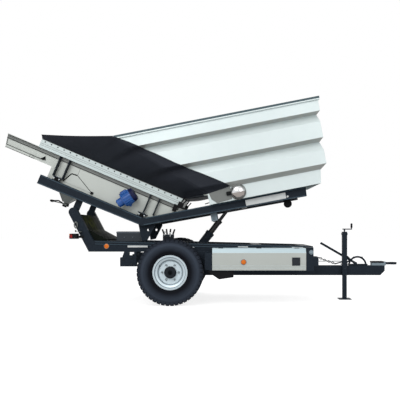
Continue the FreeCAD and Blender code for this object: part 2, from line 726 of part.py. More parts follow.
tip_mid = rail_mid
tip_in = tip_mid - S.tip_rail_wide / 2
trough_half = tip_in - S.trough_room
spout_half = trough_half - S.spout_inset
half_bend = S.arm_angle / 2
past = S.bearer_long


def along_rear_arm(s_place, n_place):
    """A point of the trough's frame, in the level frame."""
    return Frame(S.bend_x, S.bed_z, S.arm_angle).point(s_place, n_place)


def tip_rail(side, sign):
    """Bent box rail of the tipping frame, with the hinge lug on its inner face and the pin."""
    turn = S.arm_angle
    low_bend_x = S.bend_x - S.tip_rail_deep * sine(half_bend) / cosine(half_bend)
    low_bend_z = S.bed_z - S.tip_rail_deep + S.tip_taper
    rail = plate(f"tip_rail_{side}_beam", [
        (S.bend_x, S.bed_z), (S.tip_rail_front, S.bed_z),
        (S.tip_rail_front - S.tip_nose_cut, S.bed_z - S.tip_rail_deep), (low_bend_x, low_bend_z),
        along_rear_arm(-S.tip_rail_rear, -S.tip_rail_deep),
        along_rear_arm(-S.tip_rail_rear, 0),
    ], S.tip_rail_wide)
    across, up = S.hinge_x - S.bend_x, S.hinge_z - S.bed_z
    hinge_s = across * cosine(turn) - up * sine(turn)
    hinge_n = across * sine(turn) + up * cosine(turn)
    weld = S.lug_weld - S.tip_rail_deep
    lug = plate(f"hinge_lug_{side}", [
        along_rear_arm(hinge_s - S.lug_half, weld), along_rear_arm(hinge_s + S.lug_half, weld),
        along_rear_arm(hinge_s + S.lug_half, hinge_n), along_rear_arm(hinge_s - S.lug_half, hinge_n),
    ], S.lug_thick)
    pad(lug, ring(sketch_on(lug, "XZ_Plane"), S.hinge_x, S.hinge_z, S.lug_round),
        S.lug_thick, "round")
    lug_in = S.tip_rail_wide / 2 + S.lug_thick
    at(lug, y=(lug_in - S.lug_thick / 2) * -sign)
    pin = bar(f"hinge_pin_{side}", S.pin_radius, lug_in + S.rail_wide / 2,
              (S.hinge_x, -lug_in if sign > 0 else -S.rail_wide / 2, S.hinge_z))
    return seat(joined(f"tip_rail_{side}", [rail, lug, pin]), LEVEL, tip_mid * sign)


for side, sign in SIDES:
    tip_rail(side, sign)


def tip_member_rear():
    """Cross tube between the rear ends of the tipping rails."""
    half = S.tube_square / 2
    low, high = S.tube_inset - S.tip_rail_deep, -S.tube_inset
    place = S.tip_member_rear_s
    outlines = [(place - half, low), (place + half, low), (place + half, high),
                (place - half, high)]
    return seat(plate("tip_member_rear", outlines, tip_in * 2), TROUGH)


tip_member_rear()


def bearer(label, x, deep, extra=()):
    """Cross tube between the tipping rails with the tub's bearer on top of them."""
    half = S.bearer_long / 2
    tub_in = S.tub_low_half - S.tub_wall
    tube = block(label + "_tube", (x - half, x + half), (-tip_in, tip_in), (S.bed_z - deep, S.bed_z))
    saddle = block(label + "_saddle", (x - half, x + half), (-tub_in, tub_in),
                   (S.bed_z, S.tub_floor_z))
    return seat(joined(label, [tube, saddle] + list(extra)), LEVEL)


# Tub levels from the bottom up: height, half width, front wall, and how far the inner face of that
# level lies above the outer one, in walls.
WAIST_RISE = 0.6
WAIST_SKIN = 1.2
TUB_LEVELS = [
    (S.bed_z, S.tub_low_half, S.tub_low_front, 0),
    (S.skirt_z, S.skirt_half, S.skirt_front, 0),
    (S.low_rib_bottom, S.low_rib_half, S.low_rib_front, 1),
    (S.low_rib_top, S.low_rib_half, S.low_rib_front, 0),
    (S.low_waist_z, S.low_waist_half, S.low_waist_front, WAIST_RISE),
    (S.mid_rib_bottom, S.mid_rib_half, S.mid_rib_front, 1),
    (S.mid_rib_top, S.mid_rib_half, S.mid_rib_front, 0),
    (S.high_waist_z, S.high_waist_half, S.high_waist_front, WAIST_RISE),
    (S.top_rib_bottom, S.top_rib_half, S.top_rib_front, 1),
    (S.top_rib_top, S.top_rib_half, S.top_rib_front, 0),
    (S.rim_low, S.rim_half, S.rim_front, 0),
    (S.rim_top, S.rim_half, S.rim_front, 0),
]


def tub():
    """Ribbed tub, open behind, where its sides are cut on a slant."""
    body = new_body("tub")
    rear = S.tub_rear_top - past
    wall = S.tub_wall
    sketches = []
    for z, half, front, rise in TUB_LEVELS:
        corners = [(rear, -half), (front, -half), (front, half), (rear, half)]
        sketches.append(outline(sketch_on(body, "XY_Plane", z), corners))
    outer = body.newObject("PartDesign::AdditiveLoft", "tub_outer")
    outer.Profile = sketches[0]
    outer.Sections = sketches[1:]
    outer.Ruled = True
    lining = TUB_LEVELS[1:-2]
    levels = [(S.tub_floor_z + wall, lining[0][1], lining[0][2], 0)]
    levels += [(z + wall * rise, half, front, rise) for z, half, front, rise in lining]
    levels.append((S.rim_top + wall, lining[-1][1], lining[-1][2], 0))
    sketches = []
    for z, half, front, rise in levels:
        skin = wall * WAIST_SKIN if rise == WAIST_RISE else wall
        corners = [(rear - past, -half + skin), (front - skin, -half + skin),
                   (front - skin, half - skin), (rear - past, half - skin)]
        sketches.append(outline(sketch_on(body, "XY_Plane", z), corners))
    inner = body.newObject("PartDesign::SubtractiveLoft", "tub_inner")
    inner.Profile = sketches[0]
    inner.Sections = sketches[1:]
    inner.Ruled = True
    skirt = sketch_on(body, "XY_Plane", S.bed_z - wall)
    half, front = S.tub_low_half - wall, S.tub_low_front - wall
    outline(skirt, [(rear - past, -half), (front, -half), (front, half), (rear - past, half)])
    pocket(body, skirt, S.tub_floor_z - S.bed_z + wall, "skirt", symmetric=False, reverse=True)
    slant = outline(sketch_on(body, "XZ_Plane"), [
        (rear - past, S.bed_z - past), (S.tub_rear_low, S.bed_z - past),
        (S.tub_rear_low, S.tub_mouth_z), (S.tub_rear_top, S.rim_top),
        (S.tub_rear_top, S.rim_top + past), (rear - past, S.rim_top + past),
    ])
    pocket(body, slant, None, "slant")
    return seat(body, LEVEL)


tub()


def tip_member_ram():
    """Cross member ahead of the ram's eye, with two ears that flank the eye."""
    x = S.tip_member_ram_x
    half = S.ram_ear_half
    low = S.bed_z - S.tip_member_ram_deep
    stub_long = S.ear_thick + S.ram_stub_extra
    inside_ear = S.rod_eye_wide / 2 + S.side_gap * 2
    ears = []
    for side, sign in SIDES:
        ear = plate(f"ram_ear_{side}", [
            (x - half, S.bed_z), (x - half, low), (S.ram_eye_x - half, S.ram_eye_z - S.ram_ear_drop),
            (S.ram_eye_x - S.rod_eye_radius, S.ram_eye_z), (S.ram_eye_x - half, S.bed_z),
        ], S.ear_thick)
        at(ear, y=(inside_ear + S.ear_thick / 2) * sign)
        stub = bar(f"ram_stub_{side}", S.trunnion_radius, stub_long,
                   (S.ram_eye_x, inside_ear if sign > 0 else -inside_ear - stub_long, S.ram_eye_z))
        ears += [ear, stub]
    return bearer("tip_member_ram", x, S.tip_member_ram_deep, ears)


tip_member_ram()
bearer("tip_member_nose", S.tip_member_nose_x, S.tip_member_nose_deep)


def tip_member_bend():
    """Cross tube at the frame's bend with the two horns that centre it between the rails."""
    x = S.tip_member_bend_x
    half = S.bearer_long / 2
    tube = block("tip_bend_tube", (x - half, x + half), (-tip_in, tip_in),
                 (S.bed_z - S.tip_member_bend_deep, S.bed_z))
    pieces = [tube]
    for side, sign in SIDES:
        horn = plate(f"guide_horn_{side}", [
            (S.horn_rear, S.bed_z), (S.horn_front, S.bed_z), (S.horn_front, S.horn_shoulder_z),
            (S.horn_toe, S.horn_low), (S.horn_rear, S.horn_low),
        ], S.horn_thick, [(S.horn_hole_x, S.horn_hole_z, S.horn_hole)])
        at(horn, y=(tip_in - S.side_gap - S.horn_thick / 2) * sign)
        pieces.append(horn)
    return seat(joined("tip_member_bend", pieces), LEVEL)


tip_member_bend()


# ---------------------------------------------------------------- trough


def trough():
    """Vibrating trough: a pan between the tipping rails that runs up into the spout."""
    half = trough_half
    wall = S.trough_wall
    rear, floor = S.trough_rear_s, S.spout_floor_n
    front_low = S.trough_front_s * sine(S.arm_angle) / cosine(S.arm_angle)
    pan = plate("trough_pan", [
        (rear, floor), (S.pan_rear_s, floor), (S.pan_rear_s, 0), (0, 0),
        (S.trough_front_s, front_low), (S.trough_front_s, S.strip_high), (rear, S.strip_high),
    ], half * 2)
    hollow = plate("trough_hollow", [
        (rear + wall, floor + wall), (S.pan_rear_s + wall, floor + wall),
        (S.pan_rear_s + wall, wall), (-wall, wall), (S.trough_front_s - wall, front_low + wall),
        (S.trough_front_s - wall, S.strip_high + past), (rear + wall, S.strip_high + past),
    ], (half - wall) * 2)
    spout = plate("spout_outer", [
        (S.spout_tip_low_s, floor), (rear + wall, floor), (rear + wall, S.strip_low),
        (S.spout_tip_top_s, S.strip_low),
    ], spout_half * 2)
    throat = plate("spout_throat", [
        (S.spout_tip_low_s - past, floor + wall), (rear + past, floor + wall),
        (rear + past, S.strip_low - wall), (rear - wall / 4, S.strip_low - wall),
        (rear - wall / 4, S.strip_low + past), (S.spout_tip_top_s - past, S.strip_low + past),
    ], (spout_half - wall) * 2)
    shell = cut("trough_shell", joined("trough_mass", [pan, spout]), hollow)
    pieces = [cut("trough_open", shell, throat)]
    for side, sign in SIDES:
        gusset = plate(f"trough_gusset_{side}", [
            (S.gusset_rear_s, S.gusset_low_n), (S.gusset_toe_s, S.gusset_low_n),
            (S.gusset_brow_s, S.gusset_brow_n), (S.gusset_crown_s, S.gusset_crown_n),
        ], S.gusset_thick)
        pieces.append(at(gusset, y=(half + S.gusset_thick / 2) * sign))
        inner = spout_half if sign > 0 else -spout_half - S.flange_thick
        pieces.append(block(f"spout_flange_{side}", (S.spout_tip_low_s, S.flange_front_s),
                            (inner, inner + S.flange_thick), (floor, floor + S.flange_tall)))
    return seat(joined("trough", pieces), TROUGH)


trough()


def trough_mounts():
    """Rubber buffers between the tipping rails and the trough's brackets."""
    buffers = []
    for side, sign in SIDES:
        for name, place in (("rear", S.mount_rear_s), ("front", S.mount_front_s)):
            buffers.append(bar(f"buffer_{name}_{side}", S.mount_radius, S.mount_tall,
                               (place, tip_mid * sign, 0), "z"))
    return seat(joined("trough_mounts", buffers, "Part::Compound"), TROUGH)


trough_mounts()


def trough_brackets():
    """Upright plates in pairs on the trough's sides, each with a foot on a rubber buffer."""
    foot_low, foot_high = S.mount_tall, S.mount_tall + S.foot_thick
    top = S.strip_low - S.lip_thick
    reach = tip_mid + S.trough_room - trough_half
    half = S.bracket_plate / 2
    rear = S.mount_rear_s - S.bracket_apart / 2
    front_foot = S.mount_front_s + S.bracket_apart / 2
    pieces = []
    for side, sign in SIDES:
        inner = trough_half if sign > 0 else -trough_half - reach
        y = (inner, inner + reach)
        for name, place, low in (
            ("rear", rear, foot_low), ("mid", rear + S.bracket_apart, foot_low),
            ("front", S.front_plate_s, foot_low),
            ("nose", S.front_plate_s + S.bracket_apart, S.bracket_low),
        ):
            pieces.append(block(f"bracket_{name}_{side}", (place - half, place + half), y,
                                (low, top)))
        pieces.append(block(f"foot_rear_{side}", (rear, rear + S.bracket_apart), y,
                            (foot_low, foot_high)))
        pieces.append(block(f"foot_front_{side}", (S.mount_front_s * 2 - front_foot, front_foot), y,
                            (foot_low, foot_high)))
    return seat(joined("trough_brackets", pieces), TROUGH)


trough_brackets()


def trough_strip():
    """Clamping strip round the trough's rim that holds the membrane."""
    half = trough_half
    low, high = S.strip_low, S.strip_high
    pieces = []
    for side, sign in SIDES:
        inner = half if sign > 0 else -half - S.strip_thick
        pieces.append(block(f"strip_{side}", (S.trough_rear_s, S.trough_front_s),
                            (inner, inner + S.strip_thick), (low, high)))
        lip = half if sign > 0 else -half - S.lip_out
        pieces.append(block(f"strip_lip_{side}", (S.trough_rear_s, S.trough_front_s),
                            (lip, lip + S.lip_out), (low - S.lip_thick, low)))
    pieces.append(block("strip_rear", (S.trough_rear_s - S.strip_thick, S.trough_rear_s),
                        (-half - S.strip_thick, half + S.strip_thick), (low, high)))
    return seat(joined("trough_strip", pieces), TROUGH)


trough_strip()


def drain_floor():
    """Drain floor with two rows of crosswise slots that let the juice through to the pan."""
    wall = S.trough_wall
    rear = S.pan_rear_s + wall
    front = S.floor_n * cosine(S.arm_angle) / sine(S.arm_angle) - S.slot_wide
    half = trough_half - wall
    body = new_body("drain_floor")
    sketch = outline(sketch_on(body, "XY_Plane", S.floor_n), [
        (rear, -half), (front, -half), (front, half), (rear, half),
    ])
    pad(body, sketch, S.floor_thick, symmetric=False)
    slots = sketch_on(body, "XY_Plane", S.floor_n)
    start = rear + S.slot_rear
    edge = half - S.slot_side
    for low, high in ((-edge, -S.slot_side), (S.slot_side, edge)):
        outline(slots, [(start, low), (start + S.slot_wide, low), (start + S.slot_wide, high),
                        (start, high)])
    first = pocket(body, slots, None, "slots")
    row = body.newObject("PartDesign::LinearPattern", "slot_row")
    row.Originals = [first]
    row.Direction = (sketch, ["H_Axis"])
    bind(row, "Length", S.slot_pitch * (S.slot_count - 1))
    bind(row, "Occurrences", S.slot_count)
    body.Tip = row
    return seat(body, TROUGH)


drain_floor()


def leaned(thing, angle, x, y, z):
    """Turns a piece by angle about its own y and places it."""
    thing.Placement = Placement(Vector(0, 0, 0), Rotation(Vector(0, 1, 0), 10))
    bind(thing, "Placement.Rotation.Angle", angle)
    return at(thing, x, y, z)


def vibrator(side, sign):
    """Unbalance motor with finned ends on a foot at the trough's side."""
    half = S.motor_long / 2
    neck = S.motor_radius * 0.8
    fins = int(S.fin_count.value)
    step = half * 0.4 / fins
    profile = [(0, -half), (neck, -half)]
    for index in range(fins):
        low = -half + step * (index + 0.4)
        profile += [(neck, low), (S.motor_radius, low), (S.motor_radius, low + step * 0.4),
                    (neck, low + step * 0.4)]
    profile += [(neck, half - S.motor_long * 0.7), (S.motor_radius, half - S.motor_long * 0.7),
                (S.motor_radius, half * 0.6), (neck, half * 0.6), (neck, half), (0, half)]
    motor = turned(f"motor_{side}", profile)
    turn = 90 - S.motor_tilt - (S.arm_angle - S.tip_angle)
    leaned(motor, turn, S.motor_s, S.motor_y * sign, S.motor_n)
    low = trough_half if sign > 0 else -S.motor_y
    high = S.motor_y if sign > 0 else -trough_half
    foot = S.motor_foot
    base = block(f"motor_foot_{side}", (S.motor_s - foot, S.motor_s + foot), (low, high),
                 (S.motor_n - foot, S.motor_n + foot))
    return seat(joined(f"vibrator_{side}", [motor, base]), TROUGH)


for side, sign in SIDES:
    vibrator(side, sign)


def drain_sump():
    """Tapered sump under the pan's rear, with its valve and the valve's lever."""
    body = new_body("sump_funnel")
    sketches = []
    for lift, half in ((0, S.sump_top_half), (-S.sump_deep, S.sump_low_half)):
        corners = [(S.sump_s - half, -half), (S.sump_s + half, -half), (S.sump_s + half, half),
                   (S.sump_s - half, half)]
        sketches.append(outline(sketch_on(body, "XY_Plane", lift), corners))
    loft = body.newObject("PartDesign::AdditiveLoft", "sump_loft")
    loft.Profile = sketches[0]
    loft.Sections = sketches[1:]
    loft.Ruled = True
    low = -S.sump_deep - S.spigot_long
    middle = low + S.spigot_long / 2
    half, thick = S.valve_half, S.handle_thick
    spigot = bar("sump_spigot", S.spigot_radius, S.spigot_long, (S.sump_s, 0, low), "z")
    valve = block("sump_valve", (S.sump_s - half, S.sump_s + half), (-half, half),
                  (middle - thick, middle + thick))
    tip = S.sump_s - half - S.handle_long
    lever = plate("sump_lever", [
        (S.sump_s - half, middle + thick / 2), (S.sump_s - half, middle - thick / 2),
        (tip, middle - thick / 2 - S.handle_drop), (tip, middle + thick / 2 - S.handle_drop),
    ], half)
    knob = bar("sump_knob", S.handle_knob, half * 2, (tip, -half, middle - S.handle_drop))
    return seat(joined("drain_sump", [body, spigot, valve, lever, knob]), TROUGH)


drain_sump()


# ---------------------------------------------------------------- membrane


def level_point(s_place, n_place, y):
    x, z = along_rear_arm(s_place, n_place)
    return Vector(x.value, y, z.value)


def membrane():
    """Sheets between the trough's rim and the tub's slanted mouth: two sides, a front and a rear."""
    thick, gap = S.cloth_thick.value, S.cloth_gap.value
    half = (trough_half + S.strip_thick).value + gap
    inside = S.tub_wall.value + thick + gap
    for side, sign in SIDES:
        low_rear = level_point(S.trough_rear_s, S.strip_high, half)
        low_front = level_point(S.trough_front_s, S.strip_high, half)
        low_mid = low_rear + (low_front - low_rear) * S.cloth_fold.value
        top_rear = low_rear + Vector(0, 0, S.cloth_rise.value)
        mouth_top = Vector(S.tub_rear_top.value, S.top_rib_half.value - inside, S.rim_top.value)
        mouth_low = Vector(S.tub_rear_low.value, S.skirt_half.value - inside, S.tub_mouth_z.value)
        mouth_low = mouth_low + (mouth_top - mouth_low) * 0.02
        mouth_top.x -= gap
        mouth_low.x -= gap
        shape = None
        for quad in ((low_rear, low_mid, mouth_top, top_rear),
                     (low_mid, low_front, mouth_low, mouth_top)):
            lower = Part.makeLine(quad[0], quad[1])
            upper = Part.makeLine(quad[3], quad[2])
            panel = Part.makeRuledSurface(lower, upper).extrude(Vector(0, thick, 0))
            shape = panel if shape is None else shape.fuse(panel)
        if sign < 0:
            shape = shape.mirror(Vector(0, 0, 0), Vector(0, 1, 0))
        seat(made(f"membrane_{side}", shape), LEVEL)
    front = along_rear_arm(S.trough_front_s, S.strip_high)
    apron = plate("membrane_front", [
        (front[0] + S.cloth_gap, front[1]), (S.tub_rear_low, S.tub_mouth_z),
        (S.tub_rear_low, S.tub_mouth_z - S.cloth_thick),
        (front[0] + S.cloth_gap, front[1] - S.cloth_thick),
    ], trough_half * 2)
    seat(apron, LEVEL)
    rear = S.trough_rear_s - S.strip_thick
    wall = plate("membrane_rear", [
        (rear, S.strip_high), (rear + S.cloth_thick, S.strip_high),
        (rear + S.cloth_thick, S.strip_high + S.cloth_rise), (rear, S.strip_high + S.cloth_rise),
    ], trough_half * 2)
    seat(wall, TROUGH)


membrane()


def drain_cap():
    """Domed round cap with its bar handle, low on the tub's right side."""
    dome = [(S.cap_dome * cosine(as_size(turn)), S.cap_flange + S.cap_rise * sine(as_size(turn)))
            for turn in range(0, 90, 30)]
    cap = turned("drain_dome", [
        (0, 0), (S.cap_radius, 0), (S.cap_radius, S.cap_flange), *dome,
        (0, S.cap_flange + S.cap_rise),
    ])
    cap.Placement = Placement(Vector(0, 0, 0), Rotation(Vector(1, 0, 0), 90))
    at(cap, S.cap_x, -S.skirt_half, S.cap_z)
    end = S.cap_x - S.cap_radius + S.cap_flange
    half = S.cap_bar_tall / 2
    handle = block("drain_handle", (end - S.cap_bar_long, end),
                   (-S.skirt_half - S.cap_bar_thick, -S.skirt_half), (S.cap_z - half, S.cap_z + half))
    return seat(joined("drain_fitting", [cap, handle]), LEVEL)


drain_cap()


# ---------------------------------------------------------------- hydraulic ram

foot_x, foot_z = S.ram_foot_x, S.ram_foot_z
eye_x, eye_z = RAM_EYE
reach_x, reach_z = (eye_x - foot_x), (eye_z - foot_z)
ram_long = Size(f"sqrt({reach_x.text}^2 + {reach_z.text}^2)",
                math.hypot(reach_x.value, reach_z.value))
ram_lean = Size(f"(atan2({reach_x.text}; {reach_z.text}) / 1 deg)",
                math.degrees(math.atan2(reach_x.value, reach_z.value)))
RAM = Frame(foot_x, foot_z, ram_lean).inside(STAND)


def ram():
    """Barrel on trunnions, one sliding stage and the rod with its eye, along the ram's own z."""
    gap = S.ram_gap
    bore = S.stage_radius + gap
    barrel = turned("ram_barrel_tube", [
        (0, S.barrel_base), (S.barrel_radius, S.barrel_base), (S.barrel_radius, S.barrel_long),
        (bore, S.barrel_long), (bore, -S.barrel_base), (0, -S.barrel_base),
    ])
    half = S.barrel_radius + S.trunnion_long
    trunnions = bar("ram_trunnions", S.trunnion_radius, half * 2, (0, -half, 0))
    seat(joined("ram_barrel", [barrel, trunnions]), RAM)
    stage_top = S.barrel_long + S.stage_shown
    stage_low = stage_top - S.stage_long
    inner = S.rod_radius + gap
    stage = turned("ram_stage", [
        (inner, stage_low), (S.stage_radius, stage_low), (S.stage_radius, stage_top),
        (inner, stage_top),
    ])
    seat(stage, RAM)
    rod_low = ram_long - S.rod_eye_radius - S.rod_long
    rod = bar("ram_rod_bar", S.rod_radius, S.rod_long + S.rod_eye_radius, (0, 0, rod_low), "z")
    eye = bar("ram_rod_eye", S.rod_eye_radius, S.rod_eye_wide, (0, -S.rod_eye_wide / 2, ram_long))
    seat(joined("ram_rod", [rod, eye]), RAM)


ram()


# ---------------------------------------------------------------- fittings


def side_box(side, sign):
    """Dark box beside the rail, stepped at its head, with a stainless cover over its side."""
    inner, outer = rail_mid + cheek_out, S.box_out - S.cover_thick
    head, step = S.box_front + S.head_long, S.box_front + S.step_long
    brow = S.box_front + S.side_gap
    box = plate(f"side_box_{side}", [
        (S.body_rear, S.block_low + S.body_lift), (S.box_rear, S.block_low), (head, S.block_low),
        (head, S.step_low), (step, S.step_low), (step, S.step_high), (head, S.step_high),
        (head, S.block_high), (brow, S.block_high), (brow, S.box_bevel_z),
        (S.body_rear, S.box_bevel_z),
    ], outer - inner)
    seat(box, y=(inner + outer) / 2 * sign)
    thick = S.cover_thick
    face, top = S.box_out, S.box_top
    bevel = face - S.box_bevel_in
    body = new_body(f"side_cover_{side}")
    sketch = outline(sketch_on(body, "YZ_Plane", S.box_rear), [
        (face * sign, S.box_bottom), (face * sign, S.box_bevel_z), (bevel * sign, top),
        (inner * sign, top), (inner * sign, top - thick), ((bevel - thick) * sign, top - thick),
        ((face - thick) * sign, S.box_bevel_z), ((face - thick) * sign, S.box_bottom),
    ])
    pad(body, sketch, S.box_front - S.box_rear, symmetric=False)
    seat(body)


for side, sign in SIDES:
    side_box(side, sign)


def deck_box():
    """Closed box that stands on the middle cross member."""
    low = rail_top(S.member_mid_x + S.member_long / 2)
    return seat(plate("deck_box", [
        (S.deck_rear, low), (S.deck_front, low), (S.deck_front, low + S.deck_tall),
        (S.deck_rear, low + S.deck_tall),
    ], S.deck_wide), y=S.deck_y)


deck_box()


def valve_bank():
    """Hydraulic valves with a fan of levers, bracketed to the right rail."""
    start = rail_out
    body = block("bank_body", (S.bank_rear, S.bank_front),
                 (-start - S.bank_deep, -start - S.bank_stand), (S.bank_low, S.bank_high))
    bracket = block("bank_bracket", (S.bank_rear, S.bank_front), (-start - S.bank_stand, -start),
                    (S.bank_foot, S.bank_low + S.bank_stand))
    pieces = [body, bracket]
    count = int(S.bank_levers.value)
    middle = -start - (S.bank_deep + S.bank_stand) / 2
    for index in range(count):
        x = S.bank_rear + (S.bank_front - S.bank_rear) * ((index + 0.5) / count)
        lever = bar(f"bank_lever_{index}", S.lever_radius, S.lever_tall, (x, middle, 0), "z")
        leaned(lever, S.lever_fan * (index - (count - 1) / 2), x, middle,
               S.bank_high - S.lever_radius)
        pieces.append(lever)
    return seat(joined("valve_bank", pieces))


valve_bank()


def rear_lamp(side, sign):
    """Lamp on a small plate that is bolted to the rear arm's outer face."""
    thin = S.lamp_plate
    near = thin if sign > 0 else -thin - S.lamp_wide
    front = S.lamp_x + S.lamp_long
    box = block(f"lamp_box_{side}", (S.lamp_x, front), (near, near + S.lamp_wide),
                (S.lamp_z, S.lamp_z + S.lamp_tall))
    arm = block(f"lamp_arm_{side}", (S.lamp_x, front + S.lamp_arm_long),
                (0 if sign > 0 else -thin, thin if sign > 0 else 0),
                (S.lamp_z + S.lamp_arm_low, S.lamp_z + S.lamp_arm_high))
    return seat(joined(f"rear_lamp_{side}", [box, arm]), y=rail_out * sign)


for side, sign in SIDES:
    rear_lamp(side, sign)


def wheel_chock(side, sign):
    """Wedge that is held close under the side box."""
    high = S.block_low - S.seat_gap
    low = high - S.chock_tall
    chock = plate(f"wheel_chock_{side}", [
        (S.chock_x, high), (S.chock_x + S.chock_nose, low),
        (S.chock_x + S.chock_long, low + S.chock_rise), (S.chock_x + S.chock_long, high),
    ], S.chock_wide)
    return seat(chock, y=(S.box_out - S.chock_wide / 2 - S.chock_inset) * sign)


for side, sign in SIDES:
    wheel_chock(side, sign)

jack_y = -(S.beam_wide / 2 + S.jack_tube / 2)


def jack():
    """Parking jack: a tube on the drawbar's side with a crank, and the leg that slides in it."""
    half = S.jack_tube / 2
    wall = S.jack_wall
    inner = half - wall
    place = Frame(GROUND.x + S.jack_x, 0, 0)
    tube = new_body("jack_tube_body")
    sketch = sketch_on(tube, "XY_Plane", S.jack_low)
    outline(sketch, [(-half, -half), (half, -half), (half, half), (-half, half)])
    outline(sketch, [(-inner, -inner), (inner, -inner), (inner, inner), (-inner, inner)])
    pad(tube, sketch, S.jack_top - S.jack_low, symmetric=False)
    head_top = S.jack_top + S.head_tall
    arm_low = head_top + S.neck_tall
    round_half = S.crank_radius
    head = block("jack_head", (-half, half), (-half, half), (S.jack_top, head_top))
    neck = bar("jack_neck", S.neck_radius, S.neck_tall, (0, 0, head_top), "z")
    arm = block("jack_crank_arm", (-S.crank_back, S.crank_reach), (-round_half, round_half),
                (arm_low, arm_low + round_half * 2))
    grip = bar("jack_grip", round_half, S.crank_top - arm_low, (S.crank_reach, 0, arm_low), "z")
    seat(joined("jack_body", [tube, head, neck, arm, grip]), place, jack_y)
    leg_half = inner - S.seat_gap
    leg = block("jack_leg_bar", (-leg_half, leg_half), (-leg_half, leg_half),
                (S.plate_thick, S.jack_leg_top))
    foot_half = S.foot_wide / 2
    foot = block("jack_foot", (-foot_half, foot_half), (-foot_half, foot_half),
                 (0, S.plate_thick))
    seat(joined("jack_leg", [leg, foot]), place, jack_y)


jack()


def handbrake():
    """Half ring on the drawbar with the long lever beside it, which turns on the ring's foot."""
    x, z = S.brake_x, S.brake_z
    arc = new_body("brake_arc")
    sketch = ring(sketch_on(arc, "XZ_Plane"), S.arc_x, S.beam_top, S.arc_radius)
    ring(sketch, S.arc_x, S.beam_top, S.arc_radius - S.arc_bar)
    pad(arc, sketch, S.arc_thick)
    lower = outline(sketch_on(arc, "XZ_Plane"), [
        (S.arc_x - S.arc_radius * 2, S.beam_top), (S.arc_x + S.arc_radius * 2, S.beam_top),
        (S.arc_x + S.arc_radius * 2, S.beam_bottom), (S.arc_x - S.arc_radius * 2, S.beam_bottom),
    ])
    pocket(arc, lower, None, "lower_half")
    at(arc, y=S.brake_y)
    side = (S.brake_y - S.arc_thick / 2, S.brake_y + S.arc_thick / 2)
    base = block("brake_base", (S.arc_x - S.arc_radius, S.arc_x + S.arc_radius), side,
                 (S.beam_top, S.beam_top + S.arc_thick))
    half = S.handle_wide / 2
    post = block("brake_post", (x - half, x + half), side, (S.beam_top, z + half))
    lean_sine, lean_cosine = sine(S.handle_lean), cosine(S.handle_lean)
    tip_x, tip_z = x + S.handle_reach * lean_cosine, z + S.handle_reach * lean_sine
    side_x, side_z = half * lean_sine, half * lean_cosine
    lever = plate("brake_lever_bar", [
        (x - side_x, z + side_z), (x + side_x, z - side_z), (tip_x + side_x, tip_z - side_z),
        (tip_x - side_x, tip_z + side_z),
    ], S.handle_flat)
    at(lever, y=S.brake_y - (S.arc_thick + S.handle_flat) / 2)
    return seat(joined("handbrake", [arc, base, post, lever]))


handbrake()


def brake_rod():
    """Rod from the handbrake back to a small arm on the axle."""
    start = S.axle_square / 2
    rod, half = S.brake_rod_radius, S.arc_thick / 2
    return seat(joined("brake_rod", [
        bar("brake_rod_bar", rod, S.brake_x - S.brake_rod_short - start,
            (start, S.brake_rod_y, S.brake_rod_z), "x"),
        block("brake_rod_arm", (start - S.arc_thick, start + rod),
              (S.brake_rod_y - half, S.brake_rod_y + half),
              (S.wheel_radius + start, S.brake_rod_z + rod)),
    ]))


brake_rod()


# ---------------------------------------------------------------- check and export

doc.recompute()
faults = []
for thing in doc.Objects:
    if "Invalid" in thing.State or "Error" in thing.State:
        faults.append(f"{thing.Label}: {thing.State}")
for node in nodes:
    if node.Shape.isNull() or not node.Shape.isValid():
        faults.append(f"{node.Label}: shape is null or not valid")
if faults:
    raise SystemExit("\n".join(faults))

os.makedirs("parts", exist_ok=True)
for node in nodes:
    node.Shape.exportStep(f"parts/{node.Label}.step")
print(f"{len(nodes)} sub-parts written")
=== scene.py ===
import bpy
import bmesh
import json
from math import cos, pi, radians, sin
from mathutils import Matrix, Vector


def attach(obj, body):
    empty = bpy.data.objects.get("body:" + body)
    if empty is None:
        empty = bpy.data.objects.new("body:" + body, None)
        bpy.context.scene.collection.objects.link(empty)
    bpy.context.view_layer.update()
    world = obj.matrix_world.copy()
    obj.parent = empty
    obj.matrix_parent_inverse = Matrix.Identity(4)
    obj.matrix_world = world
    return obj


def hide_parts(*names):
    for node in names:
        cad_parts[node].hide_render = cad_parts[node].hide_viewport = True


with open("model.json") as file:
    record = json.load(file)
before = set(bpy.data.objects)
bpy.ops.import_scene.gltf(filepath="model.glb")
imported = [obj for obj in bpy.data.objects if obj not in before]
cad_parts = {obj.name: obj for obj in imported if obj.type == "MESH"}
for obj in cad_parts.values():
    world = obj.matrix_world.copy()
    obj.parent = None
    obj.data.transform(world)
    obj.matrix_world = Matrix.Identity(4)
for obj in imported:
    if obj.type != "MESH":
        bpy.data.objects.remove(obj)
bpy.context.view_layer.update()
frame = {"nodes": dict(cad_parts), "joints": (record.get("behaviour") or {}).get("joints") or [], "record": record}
nodes = frame["nodes"]
joints = {joint["name"]: joint for joint in frame["joints"]}
print("trailer loaded,", len(nodes), "parts")

camera = {
    "place": (0.278, -7.98, 0.947),
    "lens": 52.8, "sensor": 36,
    "shift": (-0.07, 0.0715),
}


def placeCamera():                               # level, and square to the trailer's right side
    data = bpy.data.cameras.new("camera")
    data.lens = camera["lens"]
    data.sensor_width = camera["sensor"]
    data.shift_x, data.shift_y = camera["shift"]
    seen = bpy.data.objects.new("camera", data)
    seen.location = camera["place"]
    seen.rotation_euler = (radians(90), 0, 0)
    bpy.context.scene.collection.objects.link(seen)
    bpy.context.scene.camera = seen


placeCamera()

